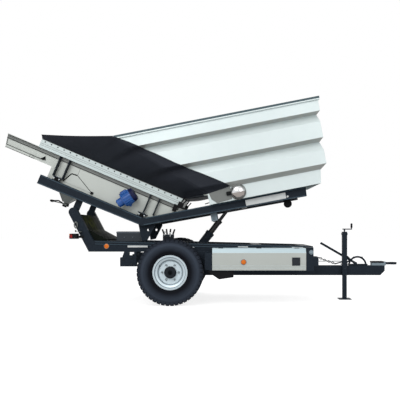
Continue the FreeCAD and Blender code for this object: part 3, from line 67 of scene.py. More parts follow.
# the level frame is the tipping frame before it is tipped, and the trough's frame runs along the
# trough from the bend
places = {
    "tip": 11,                                   # degrees
    "arm": 34,
    "hinge": (-1.262, 0, 1.158),
    "bend": (-0.398, 0, 0.912),
}
axle = Vector(joints["wheel_right_spin"]["pos_m"]) * Vector((1, 0, 1))
ground = Matrix.Translation((axle.x, 0, 0))
level = (Matrix.Translation(joints["tip_hinge"]["pos_m"])
         @ Matrix.Rotation(radians(-places["tip"]), 4, "Y")
         @ Matrix.Translation(-Vector(places["hinge"])))
trough = (level @ Matrix.Translation(places["bend"])
          @ Matrix.Rotation(radians(places["arm"]), 4, "Y"))


class Wire:                                      # one output of a node, used like a number
    def __init__(self, owner, socket):
        self.owner, self.socket = owner, socket

    def math(self, operation, first, second):
        values = {0: first, 1: second}
        return self.owner.add("ShaderNodeMath", {"operation": operation}, values)

    def __add__(self, other):
        return self.math("ADD", self, other)

    def __sub__(self, other):
        return self.math("SUBTRACT", self, other)

    def __rsub__(self, other):
        return self.math("SUBTRACT", other, self)

    def __mul__(self, other):
        return self.math("MULTIPLY", self, other)

    def __or__(self, other):
        return self.math("MAXIMUM", self, other)

    __radd__, __rmul__ = __add__, __mul__


class Nodes:                                     # the nodes of a material or of the world
    def __init__(self, tree, shader):
        self.tree, self.shader = tree, tree.nodes[shader]

    def feed(self, socket, value):
        if isinstance(value, Wire):
            self.tree.links.new(value.socket, socket)
        else:
            socket.default_value = value

    def add(self, kind, settings, values, output=0):
        node = self.tree.nodes.new(kind)
        for label, value in settings.items():
            setattr(node, label, value)
        for label, value in values.items():
            self.feed(node.inputs[label], value)
        return Wire(self, node.outputs[output])

    def paint(self, **wires):
        for label, value in wires.items():
            self.feed(self.shader.inputs[label.replace("_", " ")], value)


class Finish(Nodes):                             # a procedural material
    def __init__(self, name, **constants):
        self.material = bpy.data.materials.new(name)
        self.material.use_nodes = True
        super().__init__(self.material.node_tree, "Principled BSDF")
        self.paint(**constants)

    def place(self, scale=(1, 1, 1), turn=(0, 0, 0), output="Object"):
        spot = self.add("ShaderNodeTexCoord", {}, {}, output)
        return self.add("ShaderNodeMapping", {}, {"Vector": spot, "Scale": scale, "Rotation": turn})

    def noise(self, size, detail=3, scale=(1, 1, 1), turn=(0, 0, 0)):
        values = {"Vector": self.place(scale, turn), "Scale": size, "Detail": detail}
        return self.add("ShaderNodeTexNoise", {}, values, "Fac")

    def ramp(self, value, low, high):            # 0 below low, 1 above high
        values = {"Value": value, "From Min": low, "From Max": high}
        return self.add("ShaderNodeMapRange", {"clamp": True}, values)

    def mix(self, mask, first, second):
        values = {"Factor": mask, 6: first, 7: second}
        return self.add("ShaderNodeMix", {"data_type": "RGBA"}, values, 2)

    def stain(self, tone, marks):                # lays each mark's colour on where its mask is 1
        for mask, mark in marks:
            tone = self.mix(mask(self), tone, mark)
        return tone

    def vector(self, operation, first, second=(0, 0, 0), output="Vector"):
        values = {0: first, 1: second}
        return self.add("ShaderNodeVectorMath", {"operation": operation}, values, output)

    def measure(self, origin, way):              # how far a point is from origin along way
        offset = self.vector("SUBTRACT", self.place(), origin)
        return self.vector("DOT_PRODUCT", offset, way, "Value")

    def reach(self, origin, across):             # distance from origin, each axis times its share
        offset = self.vector("SUBTRACT", self.place(), origin)
        flat = self.vector("MULTIPLY", offset, across)
        return self.vector("LENGTH", flat, output="Value")

    def band(self, value, low, high, soft):      # 1 between low and high
        above = self.ramp(value, low - soft, low + soft)
        return above * (1 - self.ramp(value, high - soft, high + soft))

    def edges(self, radius):                     # 1 on sharp edges, 0 on open faces
        rounded = self.add("ShaderNodeBevel", {"samples": 4}, {"Radius": radius})
        plain = self.add("ShaderNodeNewGeometry", {}, {}, "Normal")
        return 1 - self.vector("DOT_PRODUCT", rounded, plain, "Value")

    def soften(self, radius, height=None, depth=0.001, strength=0.5):
        normal = self.add("ShaderNodeBevel", {"samples": 4}, {"Radius": radius})
        if height is not None:
            values = {"Height": height, "Distance": depth, "Strength": strength, "Normal": normal}
            normal = self.add("ShaderNodeBump", {}, values)
        self.paint(Normal=normal)


def shade(red, green, blue):                     # screen colour 0-255 to linear
    return tuple(((c / 255 + 0.055) / 1.055) ** 2.4 if c > 10 else c / 255 / 12.92
                 for c in (red, green, blue)) + (1,)


def darker(colour, share):
    return tuple(part * share for part in colour[:3]) + (1,)


def paintedSteel(name, colour, worn, rough=0.5, gloss=0.12, edgeWearAndHighlight=0.35):
    finish = Finish(name, Metallic=0.0, Specular_IOR_Level=gloss)
    cloud = finish.noise(2.2, 4)
    dust = finish.ramp(finish.noise(38, 5), 0.45, 0.8)
    tone = finish.mix(cloud, darker(colour, 0.7), colour)
    tone = finish.mix(dust * 0.08, tone, worn)
    # edges take the worn colour: partly edge wear, partly painted highlight where it is paler
    edge = finish.ramp(finish.edges(0.004), 0.02, 0.25)
    tone = finish.mix(edge * edgeWearAndHighlight, tone, worn)
    finish.paint(Base_Color=tone, Roughness=rough + dust * 0.16 + cloud * 0.06)
    finish.soften(0.003, finish.noise(420, 2), 0.0004, 0.25)
    return finish.material


def sheetSteel(name, colour, dull, rough, metallic, along, marks=()):
    finish = Finish(name, Metallic=metallic, Specular_IOR_Level=0.4)
    grain = finish.noise(60, 4, along)
    cloud = finish.noise(1.6, 3)
    smudge = finish.ramp(finish.noise(9, 6), 0.5, 0.85)
    edge = finish.ramp(finish.edges(0.005), 0.02, 0.3)
    tone = finish.mix(cloud * 0.5 + grain * 0.25, colour, dull)
    tone = finish.mix(smudge * 0.16, tone, dull)
    tone = finish.stain(finish.mix(edge * 0.4, tone, darker(dull, 0.7)), marks)
    finish.paint(Base_Color=tone, Roughness=rough + grain * 0.10 + smudge * 0.10)
    finish.soften(0.004, grain, 0.0005, 0.12)
    return finish.material


def rubber(name, colour, rough=0.78, marks=()):
    finish = Finish(name, Metallic=0.0, Specular_IOR_Level=0.08)
    grain = finish.noise(160, 4)
    dust = finish.ramp(finish.noise(14, 5), 0.42, 0.75)
    pale = tuple(part * 2.0 + 0.004 for part in colour[:3]) + (1,)
    tone = finish.stain(finish.mix(dust * 0.3, colour, pale), marks)
    finish.paint(Base_Color=tone, Roughness=rough + dust * 0.1)
    finish.soften(0.002, grain, 0.001, 0.3)
    return finish.material


def tarpaulin():
    finish = Finish("tarpaulin", Metallic=0.0, Specular_IOR_Level=0.12)
    spot = finish.place((1, 1, 1), (0, 0, 0), "UV")
    threads = [finish.add("ShaderNodeTexWave", {"wave_type": "BANDS", "bands_direction": way},
                          {"Vector": spot, "Scale": 130, "Distortion": 0.2}, "Fac")
               for way in ("X", "Y")]
    weave = threads[0] * threads[1]
    cloud = finish.noise(3, 5)
    tone = finish.mix(cloud, shade(28, 31, 38), shade(42, 46, 54))
    tone = finish.mix(weave * 0.2, tone, shade(62, 66, 74))
    finish.paint(Base_Color=tone, Roughness=0.52 + cloud * 0.16)
    finish.soften(0.002, weave + finish.noise(5, 3) * 2, 0.0008, 0.3)
    return finish.material


def cleanMetal(name, colour, rough, grainSize=90, marks=()):
    finish = Finish(name, Metallic=1.0)
    grain = finish.noise(grainSize, 3)
    tone = finish.stain(finish.mix(grain * 0.6, colour, darker(colour, 0.7)), marks)
    finish.paint(Base_Color=tone, Roughness=rough + grain * 0.12)
    finish.soften(0.002, grain, 0.0003, 0.15)
    return finish.material


def plastic(name, colour, rough=0.45):
    finish = Finish(name, Metallic=0.0, Specular_IOR_Level=0.12)
    cloud = finish.noise(12, 3)
    finish.paint(Base_Color=finish.mix(cloud, darker(colour, 0.75), colour),
                 Roughness=rough + cloud * 0.12)
    finish.soften(0.002, finish.noise(300, 2), 0.0004, 0.2)
    return finish.material


def lens(name, colour, deep):
    finish = Finish(name, Metallic=0.0, Specular_IOR_Level=0.3)
    facet = finish.add("ShaderNodeTexVoronoi", {}, {"Vector": finish.place(), "Scale": 130},
                       "Distance")
    finish.paint(Base_Color=finish.mix(finish.ramp(facet, 0.1, 0.7), colour, deep),
                 Roughness=0.2 + facet * 0.2)
    finish.soften(0.001, facet, 0.0008, 0.5)
    return finish.material


# where the dirt, the changes of colour and the painted shade, highlights and reflection lie, in metres
marked = {
    "tubUp": (-sin(radians(places["tip"])), 0, cos(radians(places["tip"]))),
    "shadeUnderRibs": ((1.086, 1.139), (1.421, 1.459), (1.751, 1.779)), "shadeUnderRibsShare": 0.75,
    "rimEdge": (1.926, 1.927),
    "rimHollows": ((0.146, 0.160), (0.186, 0.193), (0.203, 0.206)), "rimHollowsShare": 0.8,
    "tyreFlank": (0.305, 0.372, 0.030), "tyreFlankShare": 0.8,
    "tyreHeelShade": (0.200, 0.262, 0.012), "soft": 0.002,
    "capMiddle": (0.846, 0, 1.000), "capSoft": 0.006, "capShare": 0.85,
    "oliveHighlight": (-1.56, -0.10, 1.03), "oliveShape": (0.6, 0.5, 1), "oliveReach": (0.05, 0.17),
    "coverBevelHighlight": (0.6465, 0.6485),
}


def tubHeight(finish):                           # height up the tub as if it were level
    up = finish.measure(joints["tip_hinge"]["pos_m"], marked["tubUp"])
    return up + places["hinge"][2]


def fromAxle(finish):
    return finish.reach(axle, (1, 0, 1))


def anyBand(finish, value, bands):
    masks = [finish.band(value, low, high, marked["soft"]) for low, high in bands]
    return masks[0] | masks[1] | masks[2]


def shadeUnderRibs(finish):                           # painted shade below the ribs, where their undersides lie in shadow
    return anyBand(finish, tubHeight(finish), marked["shadeUnderRibs"]) * marked["shadeUnderRibsShare"]


def rimTopDarkening(finish):                           # darker band along the top of the tub's rim
    return finish.ramp(tubHeight(finish), *marked["rimEdge"])


def wheelShade(finish):                          # painted shade in the rim's hollows
    return anyBand(finish, fromAxle(finish), marked["rimHollows"]) * marked["rimHollowsShare"]


def tyreFlank(finish):                           # paler rubber on the outer half of the wall
    return finish.band(fromAxle(finish), *marked["tyreFlank"]) * marked["tyreFlankShare"]


def tyreHeelShade(finish):                            # painted shade on the wall near the rim
    return finish.band(fromAxle(finish), *marked["tyreHeelShade"])


def capReflection(finish):                            # painted reflection: a brownish lower half on the drain's cap
    up = finish.measure(level @ Vector(marked["capMiddle"]), marked["tubUp"])
    share = marked["capShare"]
    return share - finish.ramp(up, -marked["capSoft"], marked["capSoft"]) * share


def oliveHighlight(finish):                          # painted highlight: paler, patchy middle of the rear sheet
    away = finish.reach(marked["oliveHighlight"], marked["oliveShape"])
    patchy = finish.ramp(finish.noise(9, 4), 0.35, 0.6)
    return (1 - finish.ramp(away, *marked["oliveReach"])) * patchy


def coverBevelHighlight(finish):                          # painted highlight: bright upper slope of the side boxes
    return finish.ramp(finish.measure((0, 0, 0), (0, 0, 1)), *marked["coverBevelHighlight"])


look = {
    "frame_paint": paintedSteel("anthracitePaint", shade(27, 36, 46), shade(92, 104, 114)),
    # the tub's grey bands below the ribs are painted shade
    "stainless": sheetSteel("tubStainless", shade(220, 231, 231), shade(196, 207, 208), 0.36, 0.25,
                            (0.3, 8, 8), [(shadeUnderRibs, shade(150, 148, 142)),
                                          (rimTopDarkening, shade(60, 78, 84))]),
    "trough_steel": sheetSteel("troughStainless", shade(190, 195, 190), shade(164, 169, 165), 0.40,
                               0.30, (8, 8, 0.4)),
    "membrane": tarpaulin(),
    # the tyre's darker ring near the rim is painted shade
    "tyre": rubber("tyreRubber", shade(30, 34, 42), 0.78, [(tyreFlank, shade(62, 70, 82)),
                                                           (tyreHeelShade, shade(16, 18, 24))]),
    "buffer": rubber("bufferRubber", shade(18, 19, 21)),
    # the rim's darker rings in its hollows are painted shade
    "rim": sheetSteel("rimPaint", shade(212, 226, 233), shade(186, 200, 208), 0.34, 0.3, (4, 4, 4),
                      [(wheelShade, shade(96, 108, 116))]),
    "hub": paintedSteel("hubCasting", shade(30, 34, 40), shade(90, 95, 100), 0.5),
    # painted shade: the chrome's near-black colour stands in for the rams' dark, shaded look
    "chrome": cleanMetal("shadedDarkChrome", (0.035, 0.036, 0.038, 1), 0.35),
    # the motor's pale blue worn colour is partly painted highlight on its edges
    "motor": paintedSteel("motorEnamel", shade(14, 84, 166), shade(96, 166, 226), 0.3, 0.5),
    "zinc": cleanMetal("zincPlate", (0.52, 0.56, 0.58, 1), 0.36),
    "black_plastic": plastic("blackMoulding", shade(10, 11, 14)),
    "deck_grey": plastic("deckGrey", shade(62, 68, 74), 0.5),
    "redLens": lens("redLens", shade(190, 22, 20), shade(110, 8, 8)),
    "amberLens": lens("amberLens", shade(246, 146, 34), shade(206, 92, 8)),
    "paleTape": plastic("paleTape", shade(222, 226, 226), 0.35),
    "darkPlate": plastic("darkPlate", shade(48, 52, 58), 0.4),
    "steelTrim": sheetSteel("steelTrim", shade(118, 121, 119), shade(96, 99, 97), 0.42, 0.4,
                            (1, 1, 1)),
    # the side boxes' bright upper slope is a painted highlight
    "coverSteel": sheetSteel("coverSteel", shade(186, 192, 189), shade(172, 176, 170), 0.4, 0.2,
                             (0.3, 8, 8), [(coverBevelHighlight, shade(182, 200, 206))]),
    "stripSteel": sheetSteel("stripSteel", shade(204, 216, 216), shade(182, 192, 192), 0.4, 0.2,
                             (8, 8, 0.4)),
    # a darker copy of the motor's blue: painted shade on the motor's shaded end
    "motorShadedCap": paintedSteel("motorCapShadedEnamel", shade(14, 20, 62), shade(30, 44, 110), 0.4, 0.2),
    # a paler copy of the frame paint: painted highlight along flanges and rails
    "flangeHighlightPaint": paintedSteel("flangeHighlightPaint", shade(62, 78, 90), shade(110, 126, 138), 0.45, 0.12),
    "blueGrey": paintedSteel("blueGreyPaint", shade(146, 162, 172), shade(96, 106, 114), 0.5, 0.12),
    "speckledSteel": sheetSteel("speckledSteel", shade(126, 132, 130), shade(72, 76, 74), 0.45, 0.3,
                                (3, 3, 3)),
    # the drain cap's brownish lower half is a painted reflection
    "mirrorSteel": cleanMetal("mirrorSteel", (0.78, 0.79, 0.80, 1), 0.06, 90,
                              [(capReflection, shade(128, 118, 112))]),
    "lidGrey": plastic("lidGrey", shade(96, 104, 112), 0.45),
    # the rear sheet's olive middle is a painted highlight
    "oliveSheet": rubber("oliveSheet", shade(16, 21, 16), 0.8, [(oliveHighlight, shade(84, 90, 26))]),
}
ownLook = {                                      # nodes that differ from their slot's finish
    "rear_apron": "oliveSheet", "side_cover_right": "coverSteel", "side_cover_left": "coverSteel",
    "drain_fitting": "mirrorSteel", "drain_sump": "speckledSteel", "trough_strip": "stripSteel",
    "tow_block": "blueGrey",
}


def dressNodes():
    for part in frame["record"]["subparts"]:
        shown = nodes[part["node"]]
        shown.data.materials.clear()
        own = ownLook.get(part["node"], part["material_slot"])
        shown.data.materials.append(look[own])


dressNodes()
print("finishes made")


def boxIn(mesh, low, high):
    made = bmesh.ops.create_cube(mesh, size=1)["verts"]
    low, high = Vector(low), Vector(high)
    bmesh.ops.scale(mesh, vec=high - low, verts=made)
    bmesh.ops.translate(mesh, vec=(low + high) / 2, verts=made)
    return made


def flankBox(mesh, sign, low, high):             # a box on one side, its y given for the left one
    near, far = sorted((low[1] * sign, high[1] * sign))
    return boxIn(mesh, (low[0], near, low[2]), (high[0], far, high[2]))


def rodIn(mesh, start, end, radius, sides=20, tip=None):
    start, end = Vector(start), Vector(end)
    line = end - start
    turned = line.to_track_quat("Z", "Y").to_matrix().to_4x4()
    made = bmesh.ops.create_cone(mesh, cap_ends=True, segments=sides, radius1=radius,
                                 radius2=radius if tip is None else tip, depth=line.length,
                                 matrix=Matrix.Translation((start + end) / 2) @ turned)
    return made["verts"]


def stackIn(mesh, foot, way, steps):             # rods in a row: from, to, radius, sides, tip
    foot, way = Vector(foot), Vector(way)
    for near, far, *size in steps:
        rodIn(mesh, foot + way * near, foot + way * far, *size)


def barIn(mesh, spots, radius, sides):           # a round bar bent along a line of places
    for start, end in zip(spots, spots[1:]):
        rodIn(mesh, start, end, radius, sides)


def boltIn(mesh, place, way, size=0.011):        # washer, hexagon and the end of the thread
    stackIn(mesh, place, way, [(0, size * 0.2, size * 1.25, 16), (size * 0.2, size * 0.9, size, 6),
                               (size * 0.9, size * 1.3, size * 0.5, 10)])


# a turned outline is a list of places along the axis and radii, and it stays this far from the axis
leastRadius = 0.0005


def turnedIn(mesh, outline, centre, way, steps=64):
    centre, way = Vector(centre), Vector(way).normalized()
    side = way.orthogonal().normalized()
    dots = [mesh.verts.new(centre + way * along + side * max(radius, leastRadius))
            for along, radius in outline]
    lines = [mesh.edges.new(pair) for pair in zip(dots, dots[1:])]
    bmesh.ops.spin(mesh, geom=dots + lines, cent=centre, axis=way, angle=2 * pi, steps=steps,
                   use_merge=True)


def ringOutline(along, radius, thick, steps):    # section of a ring, to be turned
    turns = [2 * pi * index / steps for index in range(steps + 1)]
    return [(along + thick * cos(turn), radius + thick * sin(turn)) for turn in turns]


def sheetIn(mesh, corners, way, thick):          # a flat outline with some thickness
    dots = [mesh.verts.new(corner) for corner in corners]
    face = mesh.faces.new(dots)
    raised = bmesh.ops.extrude_face_region(mesh, geom=[face])["geom"]
    moved = [part for part in raised if isinstance(part, bmesh.types.BMVert)]
    bmesh.ops.translate(mesh, vec=Vector(way) * thick, verts=moved)


def asObject(name, mesh, material):
    data = bpy.data.meshes.new(name)
    mesh.to_mesh(data)
    mesh.free()
    data.shade_smooth()
    data.materials.append(material)
    made = bpy.data.objects.new(name, data)
    bpy.context.scene.collection.objects.link(made)
    return made


def finishPiece(name, mesh, body, finish, place=None, bevel=0.0012, smooth=35):
    if place is not None:
        bmesh.ops.transform(mesh, matrix=place, verts=mesh.verts)
    bmesh.ops.remove_doubles(mesh, verts=mesh.verts, dist=1e-6)
    bmesh.ops.recalc_face_normals(mesh, faces=mesh.faces)
    piece = asObject(name, mesh, look[finish])
    piece.data.set_sharp_from_angle(angle=radians(smooth))
    if bevel:
        rounding = piece.modifiers.new("rounding", "BEVEL")
        rounding.width, rounding.segments = bevel, 2
        rounding.limit_method, rounding.angle_limit = "ANGLE", radians(40)
    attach(piece, body)
    return piece


sides = {"right": -1, "left": 1}                 # the sign of y

# "side" is half of the tyre's section, from the heel to the crown: place along the axle, radius
wheel = {
    "out": 0.7,
    "side": [(-0.098, 0.198), (-0.106, 0.213), (-0.119, 0.219), (-0.127, 0.232), (-0.1335, 0.250),
             (-0.138, 0.272), (-0.1395, 0.296), (-0.1385, 0.318), (-0.135, 0.338), (-0.130, 0.358),
             (-0.124, 0.376), (-0.115, 0.390), (-0.100, 0.3965), (-0.050, 0.399), (0, 0.400)],
    "rings": [(0.1362, 0.262, 0.0022), (0.1374, 0.322, 0.0022)],
    "ringSteps": 8, "steps": 120,
    "lugs": 44, "lean": 0.014, "shoulder": 0.012, "bevel": 0.0045,
    "lug": ((0.040, 0.0228, 0.380), (0.1320, -0.0228, 0.4062)),
    "disc": 0.052, "nuts": 6, "circle": 0.1025,
    "nut": ((0, 0.005, 0.0145, 24, 0.0125), (0.005, 0.018, 0.0115, 6), (0.018, 0.023, 0.0065, 12)),
    "cap": [(0.072, 0.070), (0.072, 0.074), (0.078, 0.075), (0.084, 0.071), (0.0992, 0.068),
            (0.1062, 0.058), (0.1032, 0.052), (0.1012, 0.034), (0.1072, 0.028), (0.1072, 0)],
    "valvePlace": (148, 0.152),                  # degrees, distance from the axle
    "valve": ((-0.010, 0.010, 0.010, 16, 0.007), (0.010, 0.036, 0.0045, 12),
              (0.030, 0.042, 0.006, 12)),
}


def aroundAxle(turn, radius):
    return Vector((cos(turn), 0, sin(turn))) * radius


def makeTyre(side, sign):
    centre = Vector((axle.x, wheel["out"] * sign, axle.z))
    mesh = bmesh.new()
    half = wheel["side"]
    outline = half + [(-along, radius) for along, radius in reversed(half[:-1])]
    turnedIn(mesh, outline, centre, (0, 1, 0), wheel["steps"])
    for along, radius, thick in wheel["rings"]:
        for flank in (-1, 1):
            ring = ringOutline(flank * along, radius, thick, wheel["ringSteps"])
            turnedIn(mesh, ring, centre, (0, 1, 0), wheel["steps"])
    low, high = wheel["lug"]
    for flank in (-1, 1):
        block = bmesh.new()
        made = boxIn(block, (-high[1], low[0], low[2]), (high[1], high[0], high[2]))
        for corner in made:                      # the block leans out to the shoulder
            if corner.co.y < (low[0] + high[0]) / 2:
                corner.co.x += wheel["lean"]
            elif corner.co.z < (low[2] + high[2]) / 2:
                corner.co.z -= wheel["shoulder"]
        bmesh.ops.bevel(block, geom=block.edges[:], offset=wheel["bevel"], offset_type="OFFSET",
                        segments=2, profile=0.5, affect="EDGES", material=-1)
        first = Matrix.Translation(centre) @ Matrix.Rotation(
            0 if flank > 0 else pi / wheel["lugs"], 4, "Y")
        bmesh.ops.transform(block, matrix=first @ Matrix.Diagonal((1, flank, 1, 1)),
                            verts=block.verts)
        bmesh.ops.spin(block, geom=block.verts[:] + block.edges[:] + block.faces[:], cent=centre,
                       axis=(0, 1, 0), angle=2 * pi * (1 - 1 / wheel["lugs"]),
                       steps=wheel["lugs"] - 1, use_duplicate=True)
        data = bpy.data.meshes.new("lugs")
        block.to_mesh(data)
        block.free()
        mesh.from_mesh(data)
        bpy.data.meshes.remove(data)
    piece = finishPiece(f"tyreTread_{side}", mesh, f"wheel_{side}", "tyre", bevel=0, smooth=32)
    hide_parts(f"tyre_{side}")


def makeWheelFittings(side, sign):
    centre = Vector((axle.x, wheel["out"] * sign, axle.z))
    out = Vector((0, sign, 0))
    disc = centre + out * wheel["disc"]
    nuts, cap, valve = bmesh.new(), bmesh.new(), bmesh.new()
    for index in range(wheel["nuts"]):
        turn = 2 * pi * index / wheel["nuts"]
        stackIn(nuts, disc + aroundAxle(turn, wheel["circle"]), out, wheel["nut"])
    finishPiece(f"wheelNuts_{side}", nuts, f"wheel_{side}", "buffer", bevel=0.0008)
    turnedIn(cap, wheel["cap"], centre, out, 48)
    finishPiece(f"hubCap_{side}", cap, f"wheel_{side}", "hub", bevel=0)
    turn, radius = wheel["valvePlace"]
    stackIn(valve, disc + aroundAxle(radians(turn), radius), out, wheel["valve"])
    finishPiece(f"tyreValve_{side}", valve, f"wheel_{side}", "buffer", bevel=0.0006)


for side, sign in sides.items():
    makeTyre(side, sign)
    makeWheelFittings(side, sign)
print("wheels made")

# the cloth between the trough's edge and the tub's mouth; "lap" and "tubSide" are in the level
# frame, as x and z and as z and y
membrane = {
    "rear": -1.608, "front": 0.360, "edge": 0.428, "half": 0.427, "rise": 0.055, "fold": 0.3,
    "mouthTop": (-0.530, 1.950), "mouthLow": (0.466, 1.052), "clear": 0.005,
    "lap": [(-0.532, 1.949), (-0.363, 1.852), (-0.232, 1.765), (-0.066, 1.653), (0.158, 1.490),
            (0.332, 1.381), (0.491, 1.280), (0.626, 1.191), (0.740, 1.112), (0.760, 1.094)],
    "tubSide": [(0.912, 0.606), (1.083, 0.606), (1.140, 0.690), (1.308, 0.690), (1.418, 0.640),
                (1.458, 0.750), (1.658, 0.750), (1.748, 0.706), (1.778, 0.812), (1.908, 0.812),
                (1.914, 0.836), (1.953, 0.836)],
    "billow": 0.020, "sag": 0.010, "ripple": 0.0025, "thick": 0.003,
    "swell": (0.8, 0.5), "creases": (46, 7), "clothSoft": (-0.018, -0.009, 0, 0.009, 0.018),
    "steps": (60, 18), "lapSteps": (110, 10), "lapFlat": (0.36, 1.62),
    "sideFlat": (0.74, 2.00), "frontFlat": (0.84, 0.37), "rearFlat": (0.84, 0.058),
    "freeHem": (24, 0.92), "lapHem": (72, 0.88, 0.10), "hemOut": (0.0026, 0.001),
    "hemThick": 0.0015,
    "endHalf": 0.420, "frontFoot": (0.462, 1.047), "frontSag": (0.003, 0.018),
    "frontSteps": (32, 12), "rearSag": (0.003, 0.006), "rearSteps": (32, 6),
}


def levelPoint(along, up, aside):                # from the trough's frame to the level one
    turned = Matrix.Rotation(radians(places["arm"]), 3, "Y") @ Vector((along, aside, up))
    return Vector(places["bend"]) + turned


def sheetGrid(mesh, spot, steps):                # a grid laid where spot(u, v) says
    made = bmesh.ops.create_grid(mesh, x_segments=steps[0], y_segments=steps[1], size=0.5)["verts"]
    marks = mesh.loops.layers.uv.new("cloth")
    for corner in made:
        corner.co = Vector((corner.co.x + 0.5, corner.co.y + 0.5, 0))
    for face in mesh.faces:
        for loop in face.loops:
            loop[marks].uv = (loop.vert.co.x * 2, loop.vert.co.y)
    for corner in made:
        corner.co = spot(corner.co.x, corner.co.y)


def clothPiece(name, mesh, cover):
    area = sum(face.calc_area() for face in mesh.faces)
    bmesh.ops.transform(mesh, matrix=level, verts=mesh.verts)
    bmesh.ops.recalc_face_normals(mesh, faces=mesh.faces)
    piece = asObject(name, mesh, look["membrane"])
    thickness = piece.modifiers.new("thickness", "SOLIDIFY")
    thickness.thickness, thickness.offset = membrane["thick"], 0
    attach(piece, "tipper")
    if cover:
        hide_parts(cover)
    return piece


def onTub(x, z):                                 # a place on the cloth that lies on the tub's side
    def wide(up):                                # half of the tub's width at this height
        spots = membrane["tubSide"]
        up = max(spots[0][0], min(spots[-1][0], up))
        for (low, first), (high, second) in zip(spots, spots[1:]):
            if up <= high:
                return first + (second - first) * (up - low) / (high - low)

    steps = membrane["clothSoft"]
    soft = sum(wide(z + step) for step in steps) / len(steps)
    return Vector((x, max(soft, wide(z)) + membrane["clear"], z))


def onLine(spots, share):                        # the place at share of the way along a line
    spots = [Vector(spot) for spot in spots]
    left = share * sum((b - a).length for a, b in zip(spots, spots[1:]))
    for first, second in zip(spots, spots[1:]):
        reach = (second - first).length
        if left <= reach or second is spots[-1]:
            return first.lerp(second, left / reach)
        left -= reach


def sideSheet(side, sign):
    rear, front, edge, half = (membrane[key] for key in ("rear", "front", "edge", "half"))
    lowRear, lowFront = levelPoint(rear, edge, half), levelPoint(front, edge, half)
    topRear = lowRear + Vector((0, 0, membrane["rise"]))
    mouthTop, mouthLow = Vector(membrane["mouthTop"]), Vector(membrane["mouthLow"])
    fold = membrane["fold"]

    def upper(u):                                # the free edge, and then the tub's mouth
        if u < fold:
            return topRear.lerp(onTub(*mouthTop), u / fold)
        return onTub(*mouthTop.lerp(mouthLow, (u - fold) / (1 - fold)))

    def lapped(u, v):
        first = mouthTop.lerp(mouthLow, u)
        place = onTub(*first.lerp(onLine(membrane["lap"], u), v))
        place.y *= sign
        return place

    def spot(u, v):
        low, high = lowRear.lerp(lowFront, u), upper(u)
        place = low.lerp(high, v)
        reach = (high - low).length
        power, long = membrane["swell"]
        swell = sin(pi * v) ** power * min(1, reach / long)
        alongCreases, upCreases = membrane["creases"]
        crease = sin(u * alongCreases + v * upCreases) * sin(pi * v) * membrane["ripple"]
        pull = (sin(pi * u) ** 0.5) * membrane["billow"] * swell + crease
        place.y += pull
        if u < fold:                             # the free edge hangs a little between its ends
            place.z -= membrane["sag"] * sin(pi * u / fold) * v * v
        place.y *= sign
        return place

    mesh = bmesh.new()
    sheetGrid(mesh, spot, membrane["steps"])
    sheet = clothPiece(f"sideMembrane_{side}", mesh, f"membrane_{side}")
    lap = bmesh.new()                            # the cloth that laps over the tub's side
    sheetGrid(lap, lapped, membrane["lapSteps"])
    clothPiece(f"lappedMembrane_{side}", lap, None)
    hems = bmesh.new()                           # doubled cloth along the free edge and the lap
    count, inner = membrane["freeHem"]
    shares = [k / count for k in range(count + 1)]
    free = [(spot(fold * u, 1), spot(fold * u, inner)) for u in shares]
    count, inner, taper = membrane["lapHem"]
    shares = [k / count for k in range(count + 1)]
    over = [(lapped(u, 1), lapped(u, inner - taper * (1 - u))) for u in shares]
    out, up = membrane["hemOut"]
    for pairs in (free, over):
        strips = []
        for line in zip(*pairs):
            dots = [hems.verts.new(dot + Vector((0, out * sign, up))) for dot in line]
            strips += [hems.edges.new(pair) for pair in zip(dots, dots[1:])]
        bmesh.ops.bridge_loops(hems, edges=strips)
    bmesh.ops.solidify(hems, geom=hems.faces[:], thickness=membrane["hemThick"])
    finishPiece(f"membraneHem_{side}", hems, "tipper", "membrane", place=level, bevel=0)


def frontSheet():
    start = levelPoint(membrane["front"], membrane["edge"], 0)
    x, z = membrane["frontFoot"]
    end = Vector((x, 0, z))
    drop, sag = membrane["frontSag"]

    def spot(u, v):
        across = 2 * u - 1
        place = start.lerp(end, v)
        place.z -= drop + sag * sin(pi * v) * (1 - across ** 4) ** 0.5
        place.y = membrane["endHalf"] * across
        return place

    mesh = bmesh.new()
    sheetGrid(mesh, spot, membrane["frontSteps"])
    clothPiece("frontMembrane", mesh, "membrane_front")


def rearSheet():
    back, sag = membrane["rearSag"]

    def spot(u, v):
        place = levelPoint(membrane["rear"] - back, membrane["edge"] + membrane["rise"] * v, 0)
        place.x -= back * sin(pi * v) * sin(pi * u)
        place.z -= sag * sin(pi * u) * v
        place.y = membrane["endHalf"] * (2 * u - 1)
        return place

    mesh = bmesh.new()
    sheetGrid(mesh, spot, membrane["rearSteps"])
    clothPiece("rearMembrane", mesh, "membrane_rear")


for side, sign in sides.items():
    sideSheet(side, sign)
frontSheet()
rearSheet()
print("membrane made")

